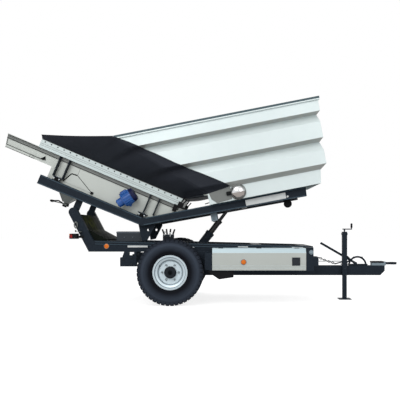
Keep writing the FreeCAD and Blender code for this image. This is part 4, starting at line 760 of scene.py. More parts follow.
# the trough's flanks, in its own frame: runs are low and high, then near and far from the wall
trim = {
    "strip": (-1.608, 0.360), "face": 0.426, "inset": 0.004,
    "bolts": (0.404, 0.088, 0.050, 0.007),       # height, pitch, margin at the ends, size
    "creases": ((0.372, 0.003, 0.0015), (0.350, 0.003, 0.0015), (0.422, 0.005, 0.002)),
    "stretches": ((-1.606, 0.356, 0.420), (-2.046, -1.610, 0.385)),
    "bands": ((0.268, 0.313, -0.001, 0.006), (0.2925, 0.298, 0, 0.011)),
    "lines": ((0.309, 0.315, 0, 0.0165), (0.264, 0.271, 0, 0.0125)),
    "flanges": ((-2.020, -1.612, 0.181, 0.385), (-1.606, -1.490, 0.181, 0.420),
                (-2.020, -1.612, 0.146, 0.385)), "flange": (0.006, 0.014),
    "wall": 0.420, "gussetOut": 0.004,
    "gusset": [(-1.152, 0.028), (-1.086, 0.161), (-1.009, 0.168), (-0.745, 0.028)],
    "gussetThick": (0.007, 0.007, 0.0035),
    "plates": ((-1.0105, 0.176, -1.0075, 0.262, 0.0015), (-0.767, 0.016, -0.733, 0.048, 0.018)),
    "latch": [(-1.530, 0.187), (-1.464, 0.187), (-1.484, 0.236)], "latchThick": 0.012,
    "seats": ((-0.750, 0.438, 0.032, 0.007), (-1.490, 0.432, 0.204, 0.006)),
}


def troughTrim(side, sign):
    out = Vector((0, sign, 0))
    bolts, creases, band, dark = (bmesh.new() for _ in range(4))
    rear, front = trim["strip"]
    face, inset, wall = trim["face"], trim["inset"], trim["wall"]
    up, pitch, margin, size = trim["bolts"]
    for index in range(int((front - rear - 2 * margin) / pitch) + 1):
        boltIn(bolts, (rear + margin + index * pitch, face * sign, up), out, size)
    # the creases are darker strips: painted shade in the strip's creases
    for low, tall, deep in trim["creases"]:
        flankBox(creases, sign, (rear + inset, face, low),
                 (front - inset, face + deep, low + tall))
    for start, end, base in trim["stretches"]:
        for mesh, runs in ((band, trim["bands"]), (dark, trim["lines"])):
            for low, high, near, far in runs:
                flankBox(mesh, sign, (start, base + near, low), (end, base + far, high))
    tall, proud = trim["flange"]
    for start, end, low, base in trim["flanges"]:
        flankBox(dark, sign, (start, base, low), (end, base + proud, low + tall))
    dots = [(x, (wall + trim["gussetOut"]) * sign, z) for x, z in trim["gusset"]]
    for start, end, thick in zip(dots, dots[1:], trim["gussetThick"]):
        rodIn(dark, start, end, thick, 10)
    for start, low, end, high, proud in trim["plates"]:
        flankBox(dark, sign, (start, wall, low), (end, wall + proud, high))
    sheetIn(dark, [(x, wall * sign, z) for x, z in trim["latch"]], out, trim["latchThick"])
    for x, y, z, size in trim["seats"]:
        boltIn(dark, (x, y * sign, z), out, size)
    finishPiece(f"stripBolts_{side}", bolts, "tipper", "buffer", trough, 0.0005)
    finishPiece(f"stripCreaseShade_{side}", creases, "tipper", "steelTrim", trough,
                0.0005)
    finishPiece(f"rimBand_{side}", band, "tipper", "steelTrim", trough, 0.001)
    finishPiece(f"rimLines_{side}", dark, "tipper", "buffer", trough, 0.001)


# y, z and size of the bolts; pads are half of their length, low and high
bracket = {
    "along": (-1.219, -0.040), "top": (0.480, 0.054, 0.012), "flank": (0.500, 0.030, 0.007),
    "apart": 0.035, "wide": (0.458, 0.502),
    "pads": ((0.055, 0.0005, 0.010), (0.048, 0.036, 0.046)),
}


def bracketTrim(side, sign):                     # pads and bolts of the upright brackets
    mesh, bolts = bmesh.new(), bmesh.new()
    near, far = bracket["wide"]
    for along in bracket["along"]:
        y, z, size = bracket["top"]
        boltIn(bolts, (along, y * sign, z), (0, 0, 1), size)
        y, z, size = bracket["flank"]
        for apart in (-bracket["apart"], bracket["apart"]):
            boltIn(bolts, (along + apart, y * sign, z), (0, sign, 0), size)
        for half, low, high in bracket["pads"]:
            flankBox(mesh, sign, (along - half, near, low), (along + half, far, high))
    finishPiece(f"bracketEdges_{side}", mesh, "tipper", "frame_paint", place=trough)
    finishPiece(f"mountBolts_{side}", bolts, "tipper", "zinc", place=trough, bevel=0.0006)


clamp = {
    "place": 0.360,
    "blocks": (((-0.072, 0.421, 0.228), (-0.022, 0.468, 0.322)),
               ((-0.030, 0.424, 0.296), (0.040, 0.462, 0.372)),
               ((0.030, 0.428, 0.300), (0.078, 0.450, 0.322))),
    "pins": (((-0.004, 0.350), (0.018, 0.446), 0.009), ((0.026, 0.350), (0.052, 0.430), 0.008)),
    "pinOut": 0.446, "bolt": 0.009,
    "bolts": ((-0.047, 0.468, 0.300), (-0.047, 0.468, 0.252), (0.010, 0.462, 0.334)),
}


def frontClamp(side, sign):                      # toggle that closes the trough's front end
    mesh = bmesh.new()
    y = clamp["pinOut"] * sign
    for low, high in clamp["blocks"]:
        flankBox(mesh, sign, low, high)
    for (x, z), (nextX, nextZ), thick in clamp["pins"]:
        rodIn(mesh, (x, y, z), (nextX, y, nextZ), thick, 12)
    for x, out, z in clamp["bolts"]:
        boltIn(mesh, (x, out * sign, z), (0, sign, 0), clamp["bolt"])
    finishPiece(f"frontClamp_{side}", mesh, "tipper", "black_plastic",
                place=trough @ Matrix.Translation((clamp["place"], 0, 0)), bevel=0.002)


spout = {"low": (-2.0175, 0.150), "top": (-2.0465, 0.316), "half": 0.386, "thick": 0.006}


def spoutTrim():                                 # rolled bar round the spout's mouth
    mesh = bmesh.new()
    (x, z), (topX, topZ), half = spout["low"], spout["top"], spout["half"]
    for y in (-half, half):
        rodIn(mesh, (x, y, z), (topX, y, topZ), spout["thick"], 12)
    rodIn(mesh, (x, -half, z), (x, half, z), spout["thick"], 12)
    finishPiece("spoutEdge", mesh, "tipper", "steelTrim", trough, 0)


for side, sign in sides.items():
    troughTrim(side, sign)
    bracketTrim(side, sign)
    frontClamp(side, sign)
spoutTrim()
print("trough trimmed")

# the motor stands along its own z, and its outlines' radii are shares of "radius"
vibrator = {
    "place": (-0.290, 0.552, 0.143), "turn": 34, "half": 0.128, "radius": 0.093,
    "neck": -0.0384,                             # the narrower lower end stops here
    "fins": 18, "fin": (0.0022, 0.86, 0.985),    # half thickness, root, tip
    "endBolts": ((-1, 0.36), (1, 0.66)), "endBolt": 0.006,
    "terminals": ((-0.104, -0.030, -0.0244), (-0.070, 0.030, 0.052)),
    "lid": ((-0.107, -0.032, -0.0264), (-0.103, 0.032, 0.054)),
    "gland": ((-0.088, 0, -0.0244), (-0.088, 0, -0.0484), 0.011),
    "foot": ((0.075, 0.420, 0.432), (0.045, 0.432, 0.532)),
    "footBolts": (0.058, 0.432, 0.009),
}


def makeVibrator(side, sign):
    x, y, z = vibrator["place"]
    place = (trough @ Matrix.Translation((x, y * sign, z))
             @ Matrix.Rotation(radians(vibrator["turn"]), 4, "Y"))
    half, radius, neck = (vibrator[key] for key in ("half", "radius", "neck"))
    shell, dark, foot = bmesh.new(), bmesh.new(), bmesh.new()
    body = [(-half, 0), (-half, 0.48), (-half + 0.008, 0.58), (neck - 0.012, 0.60),
            (neck - 0.010, 0.90), (neck, 0.98), (neck + 0.010, 0.98), (neck + 0.013, 0.90),
            (half - 0.050, 0.90), (half - 0.048, 0)]
    # the end cap is darker than the body: painted shade on the shaded end
    cap = [(half - 0.049, 0), (half - 0.049, 1.0), (half - 0.034, 1.0), (half - 0.028, 0.94),
           (half - 0.004, 0.90), (half, 0.80), (half, 0)]
    for mesh, outline in ((shell, body), (dark, cap)):
        turnedIn(mesh, [(along, share * radius) for along, share in outline],
                 (0, 0, 0), (0, 0, 1), 48)
    thick, root, tip = vibrator["fin"]
    for index in range(vibrator["fins"]):        # cooling fins along the middle
        fin = boxIn(shell, (-thick, radius * root, neck + 0.012),
                    (thick, radius * tip, half - 0.050))
        bmesh.ops.rotate(shell, cent=(0, 0, 0), verts=fin,
                         matrix=Matrix.Rotation(2 * pi * index / vibrator["fins"], 3, "Z"))
    for end, share in vibrator["endBolts"]:
        for index in range(4):
            turn = pi / 4 + pi / 2 * index
            seat = (cos(turn) * radius * share, sin(turn) * radius * share, half * end)
            boltIn(dark, seat, (0, 0, end), vibrator["endBolt"])
    boxIn(shell, *vibrator["terminals"])
    boxIn(dark, *vibrator["lid"])
    rodIn(dark, *vibrator["gland"], 16)
    for wide, near, far in vibrator["foot"]:
        flankBox(foot, sign, (x - wide, near, z - wide), (x + wide, far, z + wide))
    apart, face, size = vibrator["footBolts"]
    for along in (-apart, apart):
        for up in (-apart, apart):
            boltIn(foot, (x + along, face * sign, z + up), (0, sign, 0), size)
    piece = finishPiece(f"vibrationMotor_{side}", shell, "tipper", "motor", place=place,
                        bevel=0.0015)
    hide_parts(f"vibrator_{side}")
    finishPiece(f"motorFittings_{side}", dark, "tipper", "motorShadedCap", place, 0.0005)
    finishPiece(f"motorFoot_{side}", foot, "tipper", "motor", place=trough, bevel=0.003)


for side, sign in sides.items():
    makeVibrator(side, sign)
print("vibrators detailed")

sump = {
    "middle": (-1.125, 0, 0), "half": 0.200, "lowHalf": 0.036, "deep": 0.240, "seam": 0.004,
    "lever": [(-1.155, -0.030, -0.262), (-1.215, -0.030, -0.250), (-1.300, -0.030, -0.286)],
    "leverThick": 0.009, "grip": (0.045, 0.015),
    "valve": (((0, 0, -0.300), (0, 0, -0.262), 0.030, 24),
              ((-0.020, 0, -0.262), (0.050, 0, -0.262), 0.022, 20)),
    "bolts": (6, 0.030, 0.005), "boltUp": -0.238,
}


def sumpTrim():
    dark, bright = bmesh.new(), bmesh.new()
    middle = Vector(sump["middle"])
    points = [Vector(spot) for spot in sump["lever"]]
    barIn(dark, points, sump["leverThick"], 14)
    reach, radius = sump["grip"]
    rodIn(dark, points[-1] - Vector((0, reach, 0)), points[-1] + Vector((0, reach, 0)), radius)
    for start, end, radius, count in sump["valve"]:
        rodIn(dark, middle + Vector(start), middle + Vector(end), radius, count)
    half, low, deep = sump["half"], sump["lowHalf"], sump["deep"]
    for sign in (-1, 1):
        for corner in (-1, 1):                   # seams down the corners
            rodIn(bright, middle + Vector((half * corner, half * sign, 0)),
                  middle + Vector((low * corner, low * sign, -deep)), sump["seam"], 10)
    count, radius, size = sump["bolts"]
    for index in range(count):
        turn = 2 * pi * index / count
        spot = Vector((cos(turn) * radius, sin(turn) * radius, sump["boltUp"]))
        boltIn(bright, middle + spot, (0, 0, 1), size)
    finishPiece("sumpValve", dark, "tipper", "black_plastic", place=trough, bevel=0.001)
    finishPiece("sumpSeams", bright, "tipper", "steelTrim", trough, 0)


sumpTrim()
print("sump detailed")

# the tub's flanks, in the level frame; the drain's cap is on the right side only
tub = {
    "face": 0.606, "doublerThick": 0.003,
    "doubler": [(0.474, 1.082), (0.760, 1.082), (0.755, 0.930), (0.560, 0.916), (0.500, 0.975)],
    "cap": (0.846, 1.006),
    "capDome": [(0, 0.098), (0.010, 0.098), (0.014, 0.093), (0.030, 0.089), (0.048, 0.078),
                (0.062, 0.060), (0.071, 0.036), (0.0745, 0.012), (0.075, 0)],
    "capRings": ((0.010, 0.097, 0.004), (0.038, 0.085, 0.0025)),
    "handle": ((0.696, 0.982), (0.756, 1.030)), "handleOut": (0.0005, 0.034),
    "hook": [(0.478, 0.913), (0.474, 0.946), (0.405, 0.938)], "hookOut": 0.500,
    "hookThick": 0.006,
}


def tubTrim():
    plate, dome, ring, grip, hook = (bmesh.new() for _ in range(5))
    for sign in (-1, 1):
        y = tub["face"] * sign
        sheetIn(plate, [(x, y, z) for x, z in tub["doubler"]], (0, sign, 0), tub["doublerThick"])
        y = tub["hookOut"] * sign
        barIn(hook, [(x, y, z) for x, z in tub["hook"]], tub["hookThick"], 12)
    finishPiece("tubDoublers", plate, "tipper", "steelTrim", level, 0.001)
    x, z = tub["cap"]
    seat = (x, -tub["face"], z)
    turnedIn(dome, tub["capDome"], seat, (0, -1, 0))
    for out, radius, thick in tub["capRings"]:
        turnedIn(ring, ringOutline(out, radius, thick, 12), seat, (0, -1, 0))
    cap = finishPiece("drainCap", dome, "tipper", "mirrorSteel", level, 0)
    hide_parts("drain_fitting")
    finishPiece("drainRings", ring, "tipper", "steelTrim", level, 0)
    (lowX, lowZ), (highX, highZ) = tub["handle"]
    near, far = (tub["face"] + out for out in tub["handleOut"])
    flankBox(grip, -1, (lowX, near, lowZ), (highX, far, highZ))
    finishPiece("drainGrip", grip, "tipper", "black_plastic", level, 0.008)
    finishPiece("membraneHooks", hook, "tipper", "buffer", level, 0)


tubTrim()
print("tub trimmed")

# the front part is in the level frame and the rear part in the trough's, as x and z
tipFrame = {
    "outer": 0.520, "proud": 0.005,
    "front": (((-0.372, 0.903), (1.690, 0.903)), ((-0.410, 0.8265), (1.685, 0.7985))),
    "rear": (((-1.418, -0.0095), (-0.022, -0.0095)), ((-1.412, -0.1135), (-0.020, -0.0905))),
    "flange": 0.007, "rearFlange": 0.0065,       # half heights
    "plate": ((0.916, 0.520, 0.812), (1.434, 0.523, 0.888)),
    "spot": (1.455, 0.8305), "spotRadius": 0.013, "spotThick": 0.004,
    "boss": (1.452, 0.742), "web": [(-0.045, 0.010), (0.045, 0.010), (0.060, 0.120),
                                    (-0.060, 0.120)], "webOut": (0.396, 0.0245),
    "bossSteps": ((0.372, 0.428, 0.050, 40), (0.426, 0.434, 0.036, 40), (0.432, 0.438, 0.016, 40)),
    "tab": ((0.445, 0.404, 0.704), (0.525, 0.4205, 0.850)), "tabBolt": (0.485, 0.4205, 0.734),
    "tabBoltSize": 0.013,
}


def bossTrim():                                  # pivot on the inner face of the right rail
    mesh = bmesh.new()
    x, z = tipFrame["boss"]
    stackIn(mesh, (x, 0, z), (0, -1, 0), tipFrame["bossSteps"])
    out, thick = tipFrame["webOut"]
    sheetIn(mesh, [(x + along, -out, z + up) for along, up in tipFrame["web"]], (0, -1, 0), thick)
    finishPiece("railBoss", mesh, "tipper", "buffer", level, 0.002)


def tipFrameTrim(side, sign):
    outer, proud, out = tipFrame["outer"], tipFrame["proud"], Vector((0, sign, 0))
    flanges, rear, pale, tab = (bmesh.new() for _ in range(4))
    for mesh, edges, tall in ((flanges, tipFrame["front"], tipFrame["flange"]),
                              (rear, tipFrame["rear"], tipFrame["rearFlange"])):
        for (x, z), (nextX, nextZ) in edges:
            corners = ((x, z - tall), (nextX, nextZ - tall), (nextX, nextZ + tall), (x, z + tall))
            sheetIn(mesh, [(along, outer * sign, up) for along, up in corners], out, proud)
    flankBox(pale, sign, *tipFrame["plate"])
    x, z = tipFrame["spot"]
    stackIn(pale, (x, outer * sign, z), out,
            [(0, tipFrame["spotThick"], tipFrame["spotRadius"], 24)])
    # the flanges' paler paint is painted highlight along their edges
    finishPiece(f"tipFlanges_{side}", flanges, "tipper", "flangeHighlightPaint", level, 0.002)
    finishPiece(f"rearFlanges_{side}", rear, "tipper", "flangeHighlightPaint", trough, 0.002)
    finishPiece(f"blankPlate_{side}", pale, "tipper", "paleTape", level, 0.0008)
    if sign < 0:
        bossTrim()
    flankBox(tab, sign, *tipFrame["tab"])        # on the rail's inner face, clear of the chassis
    x, y, z = tipFrame["tabBolt"]
    boltIn(tab, (x, y * sign, z), out, tipFrame["tabBoltSize"])
    finishPiece(f"ramTab_{side}", tab, "tipper", "blueGrey", level, 0.004)


for side, sign in sides.items():
    tipFrameTrim(side, sign)
print("tipping frame detailed")

ram = {
    "foot": (0.150, 0, 0.470),
    "collar": [(0.498, 0.056), (0.498, 0.060), (0.531, 0.060), (0.537, 0.055), (0.537, 0.040)],
    "stageCollar": [(0.700, 0.038), (0.700, 0.044), (0.742, 0.044), (0.745, 0.024)],
    "portUp": 0.440, "port": ((0.050, 0.074, 0.016, 20), (0.072, 0.084, 0.013, 6)),
}


def ramTrim():
    along = Vector(joints["ram_stage_slide"]["axis"])
    foot = ground @ Vector(ram["foot"])
    collar, stage = bmesh.new(), bmesh.new()
    turnedIn(collar, ram["collar"], foot, along, 48)
    stackIn(collar, foot + along * ram["portUp"], (0, -1, 0), ram["port"])
    turnedIn(stage, ram["stageCollar"], foot, along, 40)
    finishPiece("ramGland", collar, "ram_barrel", "frame_paint", bevel=0.0015)
    finishPiece("stageGland", stage, "ram_stage", "chrome", bevel=0.001)


ramTrim()
print("ram detailed")

# the rails, in the ground frame: "slope" is the top's height at the axle and its rise per metre
chassis = {
    "web": 0.515, "slope": (0.7675, -0.02473),
    "lines": ((-0.98, 1.785, -0.012), (-0.98, 1.785, -0.040)), "line": (0.005, 0.004, 0.006),
    "tape": (((-0.568, 0.708), (-0.313, 0.732)), ((0.226, 0.704), (0.277, 0.718)),
             ((0.836, 0.706), (0.963, 0.720)), ((1.522, 0.704), (1.662, 0.716))),
    "tapeOut": 0.5195,
    "reflectors": ((-0.836, 0.515, 0.723), (0.901, 0.760, 0.535)),
    "amber": [(0.001, 0), (0.001, 0.0301), (0.006, 0.0301), (0.0085, 0.0252), (0.0095, 0)],
    "amberRing": [(0, 0.0294), (0, 0.035), (0.006, 0.035), (0.009, 0.03255), (0.008, 0.0294)],
    "hangerBolts": ((-0.5175, 0.573), (-0.5175, 0.490), (-0.430, 0.620), (-0.62, 0.55),
                    (0.420, 0.560), (0.500, 0.560), (0.470, 0.620)), "boltOut": 0.5185,
    "loop": (-1.223, 0.532, 0.993), "loopReach": (0.020, 0.036), "loopThick": 0.007,
    "loopFoot": (0.540, 0.010),
    "ledge": (((-1.226, 0.515, 0.904), (-1.146, 0.560, 0.910)),
              ((-1.226, 0.515, 0.904), (-1.220, 0.560, 0.930))),
}


def railTop(x):
    return chassis["slope"][0] + chassis["slope"][1] * x


def chassisTrim(side, sign):
    web, out = chassis["web"], (0, sign, 0)
    lines, tape, amber, ring, bolts, loop = (bmesh.new() for _ in range(6))
    under, over, proud = chassis["line"]
    for start, end, drop in chassis["lines"]:
        first, last = railTop(start) + drop, railTop(end) + drop
        corners = ((start, first - under), (end, last - under), (end, last + over),
                   (start, first + over))
        sheetIn(lines, [(x, web * sign, z) for x, z in corners], out, proud)
    for (lowX, lowZ), (highX, highZ) in chassis["tape"]:
        flankBox(tape, sign, (lowX, web, lowZ), (highX, chassis["tapeOut"], highZ))
    for x, y, z in chassis["reflectors"]:
        turnedIn(amber, chassis["amber"], (x, y * sign, z), out, 40)
        turnedIn(ring, chassis["amberRing"], (x, y * sign, z), out, 40)
    for x, z in chassis["hangerBolts"]:
        boltIn(bolts, (x, chassis["boltOut"] * sign, z), out)
    (x, y, z), (wide, tall) = chassis["loop"], chassis["loopReach"]
    turns = [2 * pi * k / 20 for k in range(21)]
    barIn(loop, [Vector((x + wide * cos(turn), y * sign, z + tall * sin(turn)))
                 for turn in turns], chassis["loopThick"], 10)
    for low, high in chassis["ledge"]:
        flankBox(loop, sign, low, high)
    far, radius = chassis["loopFoot"]
    for up in (z - tall, z + tall):
        rodIn(loop, (x, web * sign, up), (x, far * sign, up), radius, 16)
    # the rail lines are paler strips of painted highlight along the rails
    finishPiece(f"railHighlightLines_{side}", lines, "chassis", "flangeHighlightPaint", ground, 0.0015)
    finishPiece(f"paleTapes_{side}", tape, "chassis", "paleTape", ground, 0.0005)
    finishPiece(f"sideReflectors_{side}", amber, "chassis", "amberLens", ground, 0)
    finishPiece(f"reflectorRings_{side}", ring, "chassis", "steelTrim", ground, 0)
    finishPiece(f"hangerBolts_{side}", bolts, "chassis", "hub", ground, 0.0008)
    finishPiece(f"lashingLoop_{side}", loop, "chassis", "steelTrim", ground, 0.001)


spring = {
    "y": 0.480, "reach": 0.052, "aside": 0.030, "ubolt": (0.332, 0.523, 0.008),
    "nut": (0.503, 0.014),
    "clips": (-0.28, 0.28), "clip": (0.016, 0.034, 0.455, 0.487),
}


def springTrim(side, sign):                      # U-bolts round the axle and the leaves' clips
    mesh = bmesh.new()
    y, apart = spring["y"] * sign, spring["aside"]
    low, high, thick = spring["ubolt"]
    seat, size = spring["nut"]
    for x in (-spring["reach"], spring["reach"]):
        for aside in (-apart, apart):
            rodIn(mesh, (x, y + aside, low), (x, y + aside, high), thick, 14)
            boltIn(mesh, (x, y + aside, seat), (0, 0, 1), size)
        rodIn(mesh, (x, y - apart, low), (x, y + apart, low), thick, 14)
    half, wide, low, high = spring["clip"]
    for x in spring["clips"]:
        boxIn(mesh, (x - half, y - wide, low), (x + half, y + wide, high))
    finishPiece(f"springClips_{side}", mesh, "chassis", "hub", ground, 0.001)


lamp = {
    "red": (((-1.288, 0.524, 0.822), (-1.276, 0.606, 0.85696)),
            ((-1.272, 0.6095, 0.832), (-1.248, 0.6125, 0.870))),
    "amber": ((-1.288, 0.524, 0.85896), (-1.276, 0.606, 0.880)),
}


def lampTrim(side, sign):
    red, amber = bmesh.new(), bmesh.new()
    for low, high in lamp["red"]:
        flankBox(red, sign, low, high)
    flankBox(amber, sign, *lamp["amber"])
    finishPiece(f"tailLens_{side}", red, "chassis", "redLens", ground, 0.003)
    finishPiece(f"turnLens_{side}", amber, "chassis", "amberLens", ground, 0.003)


for side, sign in sides.items():
    chassisTrim(side, sign)
    springTrim(side, sign)
    lampTrim(side, sign)
print("chassis detailed")

sideBox = {
    "face": 0.760, "rear": 0.515, "front": 1.672,
    "beads": (0.488, 0.470, 0.454), "bead": (0.004, 0.004, 0.0015),
    "bevel": 0.647, "bevelLine": (0.001, 0.003, -0.002, 0.001),
    "badge": ((1.499, 0.492), (1.597, 0.591)), "badgeEdge": 0.006, "badgeOut": (0.003, 0.005),
    "fitting": (1.735, 0.757, 0.655),
    "plug": [(0, 0.028), (0.005, 0.028), (0.007, 0.02408), (0.005, 0.01848), (0.012, 0.0168),
             (0.012, 0)],
    "hinges": (0.62, 1.09, 1.56), "hinge": (0.030, 0.737, 0.7075, 0.0045),
}


def sideBoxTrim(side, sign):
    face, rear, front = sideBox["face"], sideBox["rear"], sideBox["front"]
    dark, beads, badge, fitting = (bmesh.new() for _ in range(4))
    inset, tall, proud = sideBox["bead"]
    for z in sideBox["beads"]:
        flankBox(beads, sign, (rear + inset, face, z), (front - inset, face + proud, z + tall))
    inset, half, near, far = sideBox["bevelLine"]
    flankBox(beads, sign, (rear + inset, face + near, sideBox["bevel"] - half),
             (front - inset, face + far, sideBox["bevel"] + half))
    (lowX, lowZ), (highX, highZ) = sideBox["badge"]
    edge, (plain, raised) = sideBox["badgeEdge"], sideBox["badgeOut"]
    flankBox(badge, sign, (lowX, face, lowZ), (highX, face + plain, highZ))
    raisedEdges = ((lowX, lowZ, highX, lowZ + edge), (lowX, highZ - edge, highX, highZ),
                   (lowX, lowZ, lowX + edge, highZ), (highX - edge, lowZ, highX, highZ))
    for x, z, nextX, nextZ in raisedEdges:
        flankBox(badge, sign, (x, face, z), (nextX, face + raised, nextZ))
    x, y, z = sideBox["fitting"]
    turnedIn(fitting, sideBox["plug"], (x, y * sign, z), (0, sign, 0), 36)
    half, y, z, radius = sideBox["hinge"]
    for x in sideBox["hinges"]:                  # knuckles along the cover's upper edge
        rodIn(dark, (x - half, y * sign, z), (x + half, y * sign, z), radius, 14)
    finishPiece(f"coverHinges_{side}", dark, "chassis", "darkPlate", ground, 0.0005)
    finishPiece(f"coverBeads_{side}", beads, "chassis", "stainless", place=ground, bevel=0.0008)
    finishPiece(f"badgeBlank_{side}", badge, "chassis", "darkPlate", ground, 0.001)
    finishPiece(f"boxFitting_{side}", fitting, "chassis", "blueGrey", ground, 0)


for side, sign in sides.items():
    sideBoxTrim(side, sign)
print("side boxes detailed")

deck = {
    "lid": ((-0.731, -0.413, 0.889), (-0.420, -0.107, 0.905)),
    "bolts": ((-0.628, -0.410, 0.834), (-0.521, -0.410, 0.834)), "bolt": 0.007,
}


def deckTrim():
    mesh = bmesh.new()
    boxIn(mesh, *deck["lid"])
    for spot in deck["bolts"]:
        boltIn(mesh, spot, (0, -1, 0), deck["bolt"])
    finishPiece("deckLid", mesh, "chassis", "lidGrey", ground, 0.003)


# sections are boxes, each with two bolts: height, from, to, radius and sides
valves = {
    "knobs": ((-0.090, -0.561, 0.905), (-0.022, -0.561, 0.890)), "stem": (-0.045, -0.008, 0.004),
    "knob": [(-0.013, 0), (-0.011, 0.007), (0, 0.013), (0.011, 0.007), (0.013, 0)],
    "levers": ((-0.0966, -21), (-0.0619, -7), (-0.0271, 7), (0.0076, 21)),
    "leverFoot": (-0.541, 0.868), "grip": (0.0105, 0.076, 0.0115, 14, 0.0095),
    "sections": (-0.100, -0.062, -0.024, 0.010),
    "section": ((-0.015, -0.560, 0.770), (0.013, -0.552, 0.860)),
    "sectionBolts": ((0.792, 0.553, 0.572, 0.011, 6), (0.840, 0.553, 0.566, 0.008, 14)),
}


def valveTrim():
    pale, dark, grips = bmesh.new(), bmesh.new(), bmesh.new()
    low, high, radius = valves["stem"]
    for spot in valves["knobs"]:
        turnedIn(pale, valves["knob"], spot, (0, 0, 1), 20)
        stackIn(pale, spot, (0, 0, 1), [(low, high, radius, 10)])
    y, z = valves["leverFoot"]
    for x, lean in valves["levers"]:
        line = Vector((sin(radians(lean)), 0, cos(radians(lean))))
        stackIn(grips, (x, y, z), line, [valves["grip"]])
    finishPiece("leverGrips", grips, "chassis", "buffer", ground, 0.001)
    low, high = valves["section"]
    for x in valves["sections"]:
        boxIn(dark, (x + low[0], *low[1:]), (x + high[0], *high[1:]))
        for up, *step in valves["sectionBolts"]:
            stackIn(dark, (x, 0, up), (0, -1, 0), [step])
    finishPiece("valveKnobs", pale, "chassis", "paleTape", ground, 0)
    finishPiece("valveSections", dark, "chassis", "hub", ground, 0.0015)


deckTrim()
valveTrim()
print("deck box and valves detailed")

jack = {
    "place": (2.275, -0.091), "half": 0.036,
    "collars": ((0.862, 0.889), (0.324, 0.346)),
    "pins": (0.470, 0.370), "pin": (0.050, 0.008), "boltOut": (0.031, 0.04, 0.009),
    "clamp": ((2.230, -0.066, 0.352), (2.320, -0.058, 0.440)),
    "grip": (2.370, 0.956),
    "gripOutline": [(0, 0), (0, 0.010), (0.008, 0.014), (0.030, 0.0125), (0.052, 0.014),
                    (0.060, 0.010), (0.060, 0)],
}


def jackTrim():
    x, y = jack["place"]
    half = jack["half"]
    mesh, grip = bmesh.new(), bmesh.new()
    for low, high in jack["collars"]:
        boxIn(mesh, (x - half, y - half, low), (x + half, y + half, high))
    reach, radius = jack["pin"]
    out, up, size = jack["boltOut"]
    for z in jack["pins"]:
        rodIn(mesh, (x - reach, y, z), (x + reach, y, z), radius, 16)
        boltIn(mesh, (x, y - out, z + up), (0, -1, 0), size)
    boxIn(mesh, *jack["clamp"])
    along, low = jack["grip"]
    turnedIn(grip, jack["gripOutline"], (along, y, low), (0, 0, 1), 24)
    finishPiece("jackCollars", mesh, "chassis", "frame_paint", place=ground, bevel=0.002)
    finishPiece("jackGrip", grip, "chassis", "black_plastic", place=ground, bevel=0)


# x and z of the handbrake's parts; the chain is links, their radius, length, thickness and sag
brake = {
    "struts": [((2.330, 0.574), (2.432, 0.470)), ((2.300, 0.470), (2.436, 0.560))],
    "strutOut": (-0.016, 0.036), "strutThick": 0.007,
    "y": 0.010, "link": ((2.160, 0.466), (2.259, 0.493)), "linkThick": 0.008,
    "bolts": ((2.451, 0.474), (2.415, 0.556), (2.529, 0.556)), "boltOut": -0.010, "bolt": 0.010,
    "chain": ((1.932, 0.560), (2.177, 0.470)), "links": (9, 0.011, 1.5, 0.0052, 0.006),
    "chainTurn": 20,
    "arc": (2.472, 0.448, 0.115, 0.0125),
    "foot": ((2.354, -0.020, 0.452), (2.604, 0.032, 0.468)),
    "towPlate": ((2.650, -0.0535, 0.486), (2.815, 0.0535, 0.506)),
}


def linkIn(mesh, middle, turn):                  # one link of the chain
    _, radius, long, thick, _ = brake["links"]
    dots = bmesh.ops.create_circle(mesh, cap_ends=False, segments=10, radius=radius)["verts"]
    edges = list({edge for dot in dots for edge in dot.link_edges})
    place = (Matrix.Translation(middle) @ Matrix.Rotation(radians(brake["chainTurn"]), 4, "Y")
             @ Matrix.Rotation(turn, 4, "X") @ Matrix.Diagonal((long, 1, 1, 1)))
    bmesh.ops.transform(mesh, matrix=place, verts=dots)
    for edge in edges:
        first, last = (dot.co.copy() for dot in edge.verts)
        rodIn(mesh, first, last, thick, 6)
    bmesh.ops.delete(mesh, geom=dots, context="VERTS")


def brakeTrim():
    mesh, chain, plate = bmesh.new(), bmesh.new(), bmesh.new()
    y = brake["y"]
    for out in brake["strutOut"]:
        for (x, z), (nextX, nextZ) in brake["struts"]:
            rodIn(mesh, (x, out, z), (nextX, out, nextZ), brake["strutThick"], 12)
    (x, z), (nextX, nextZ) = brake["link"]
    rodIn(mesh, (x, y, z), (nextX, y, nextZ), brake["linkThick"], 12)
    for x, z in brake["bolts"]:
        boltIn(mesh, (x, brake["boltOut"], z), (0, -1, 0), brake["bolt"])
    start, end = (Vector((x, y, z)) for x, z in brake["chain"])
    count, sag = brake["links"][0], brake["links"][-1]
    for index in range(count):
        share = (index + 0.5) / count
        middle = start.lerp(end, share) - Vector((0, 0, sag * sin(pi * share)))
        linkIn(chain, middle, pi / 2 * (index % 2))
    x, z, radius, thick = brake["arc"]           # tube over the quadrant, and its foot
    turns = [pi * k / 20 for k in range(21)]
    barIn(mesh, [(x - radius * cos(turn), y, z + radius * sin(turn)) for turn in turns], thick, 12)
    boxIn(mesh, *brake["foot"])
    boxIn(plate, *brake["towPlate"])             # black plate on the tow block
    finishPiece("towPlate", plate, "chassis", "black_plastic", ground, 0.002)
    finishPiece("brakeStruts", mesh, "chassis", "frame_paint", place=ground, bevel=0.001)
    finishPiece("brakeChain", chain, "chassis", "darkPlate", ground, 0)


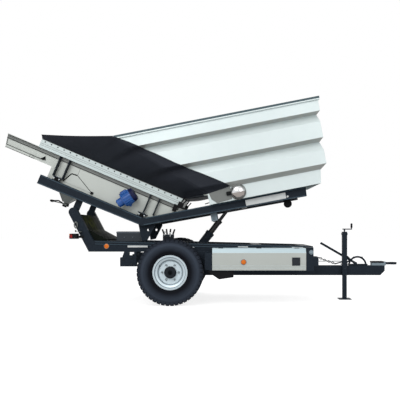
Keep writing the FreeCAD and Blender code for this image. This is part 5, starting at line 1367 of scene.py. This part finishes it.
jackTrim()
brakeTrim()
print("drawbar detailed")

studio = {
    "floor": 80.0, "floorShade": 0.36, "floorGlow": 0.80,
    "sky": 0.68,                                 # the sky's strength on the object
    "lamps": (                                   # place, size, power, aim
        ((-2.5, -8.0, 6.0), 5.0, 350, (0, 0, 1.2)),
        ((4.5, -7.0, 4.0), 4.0, 105, (0.4, 0, 1.0)),
        ((0.0, 6.5, 6.0), 4.0, 220, (0, 0, 1.4)),
    ),
}


def aroundRays(made):                            # 1 for what the camera, mirrors and glass see
    seen = [made.add("ShaderNodeLightPath", {}, {}, ray)
            for ray in ("Is Camera Ray", "Is Glossy Ray", "Is Transmission Ray")]
    return seen[0] | seen[1] | seen[2]


def buildFloor():
    mesh = bmesh.new()
    bmesh.ops.create_grid(mesh, x_segments=1, y_segments=1, size=studio["floor"] / 2)
    finish = Finish("paleFloor", Roughness=0.9, Metallic=0.0, Specular_IOR_Level=0.1,
                    Emission_Strength=studio["floorGlow"])
    base = (studio["floorShade"],) * 3 + (1,)
    cloud = finish.noise(0.6, 2)
    finish.paint(Base_Color=finish.mix(cloud * 0.05, base, darker(base, 0.96)),
                 Emission_Color=finish.mix(aroundRays(finish), (0, 0, 0, 1), (1, 1, 1, 1)))
    asObject("floor", mesh, finish.material)


def buildStudio():
    world = bpy.data.worlds.new("studio")
    bpy.context.scene.world = world
    world.use_nodes = True
    sky = Nodes(world.node_tree, "Background")
    low = studio["sky"]
    sky.paint(Color=(1, 1, 1, 1), Strength=aroundRays(sky) * (1 - low) + low)
    for place, size, power, aim in studio["lamps"]:
        data = bpy.data.lights.new("softLamp", "AREA")
        data.shape, data.size, data.energy = "SQUARE", size, power
        lampObject = bpy.data.objects.new("softLamp", data)
        lampObject.location = place
        line = Vector(aim) - Vector(place)
        lampObject.rotation_euler = line.to_track_quat("-Z", "Y").to_euler()
        bpy.context.scene.collection.objects.link(lampObject)


buildFloor()
buildStudio()
bpy.context.scene.view_settings.view_transform = "Standard"
print("studio lit")
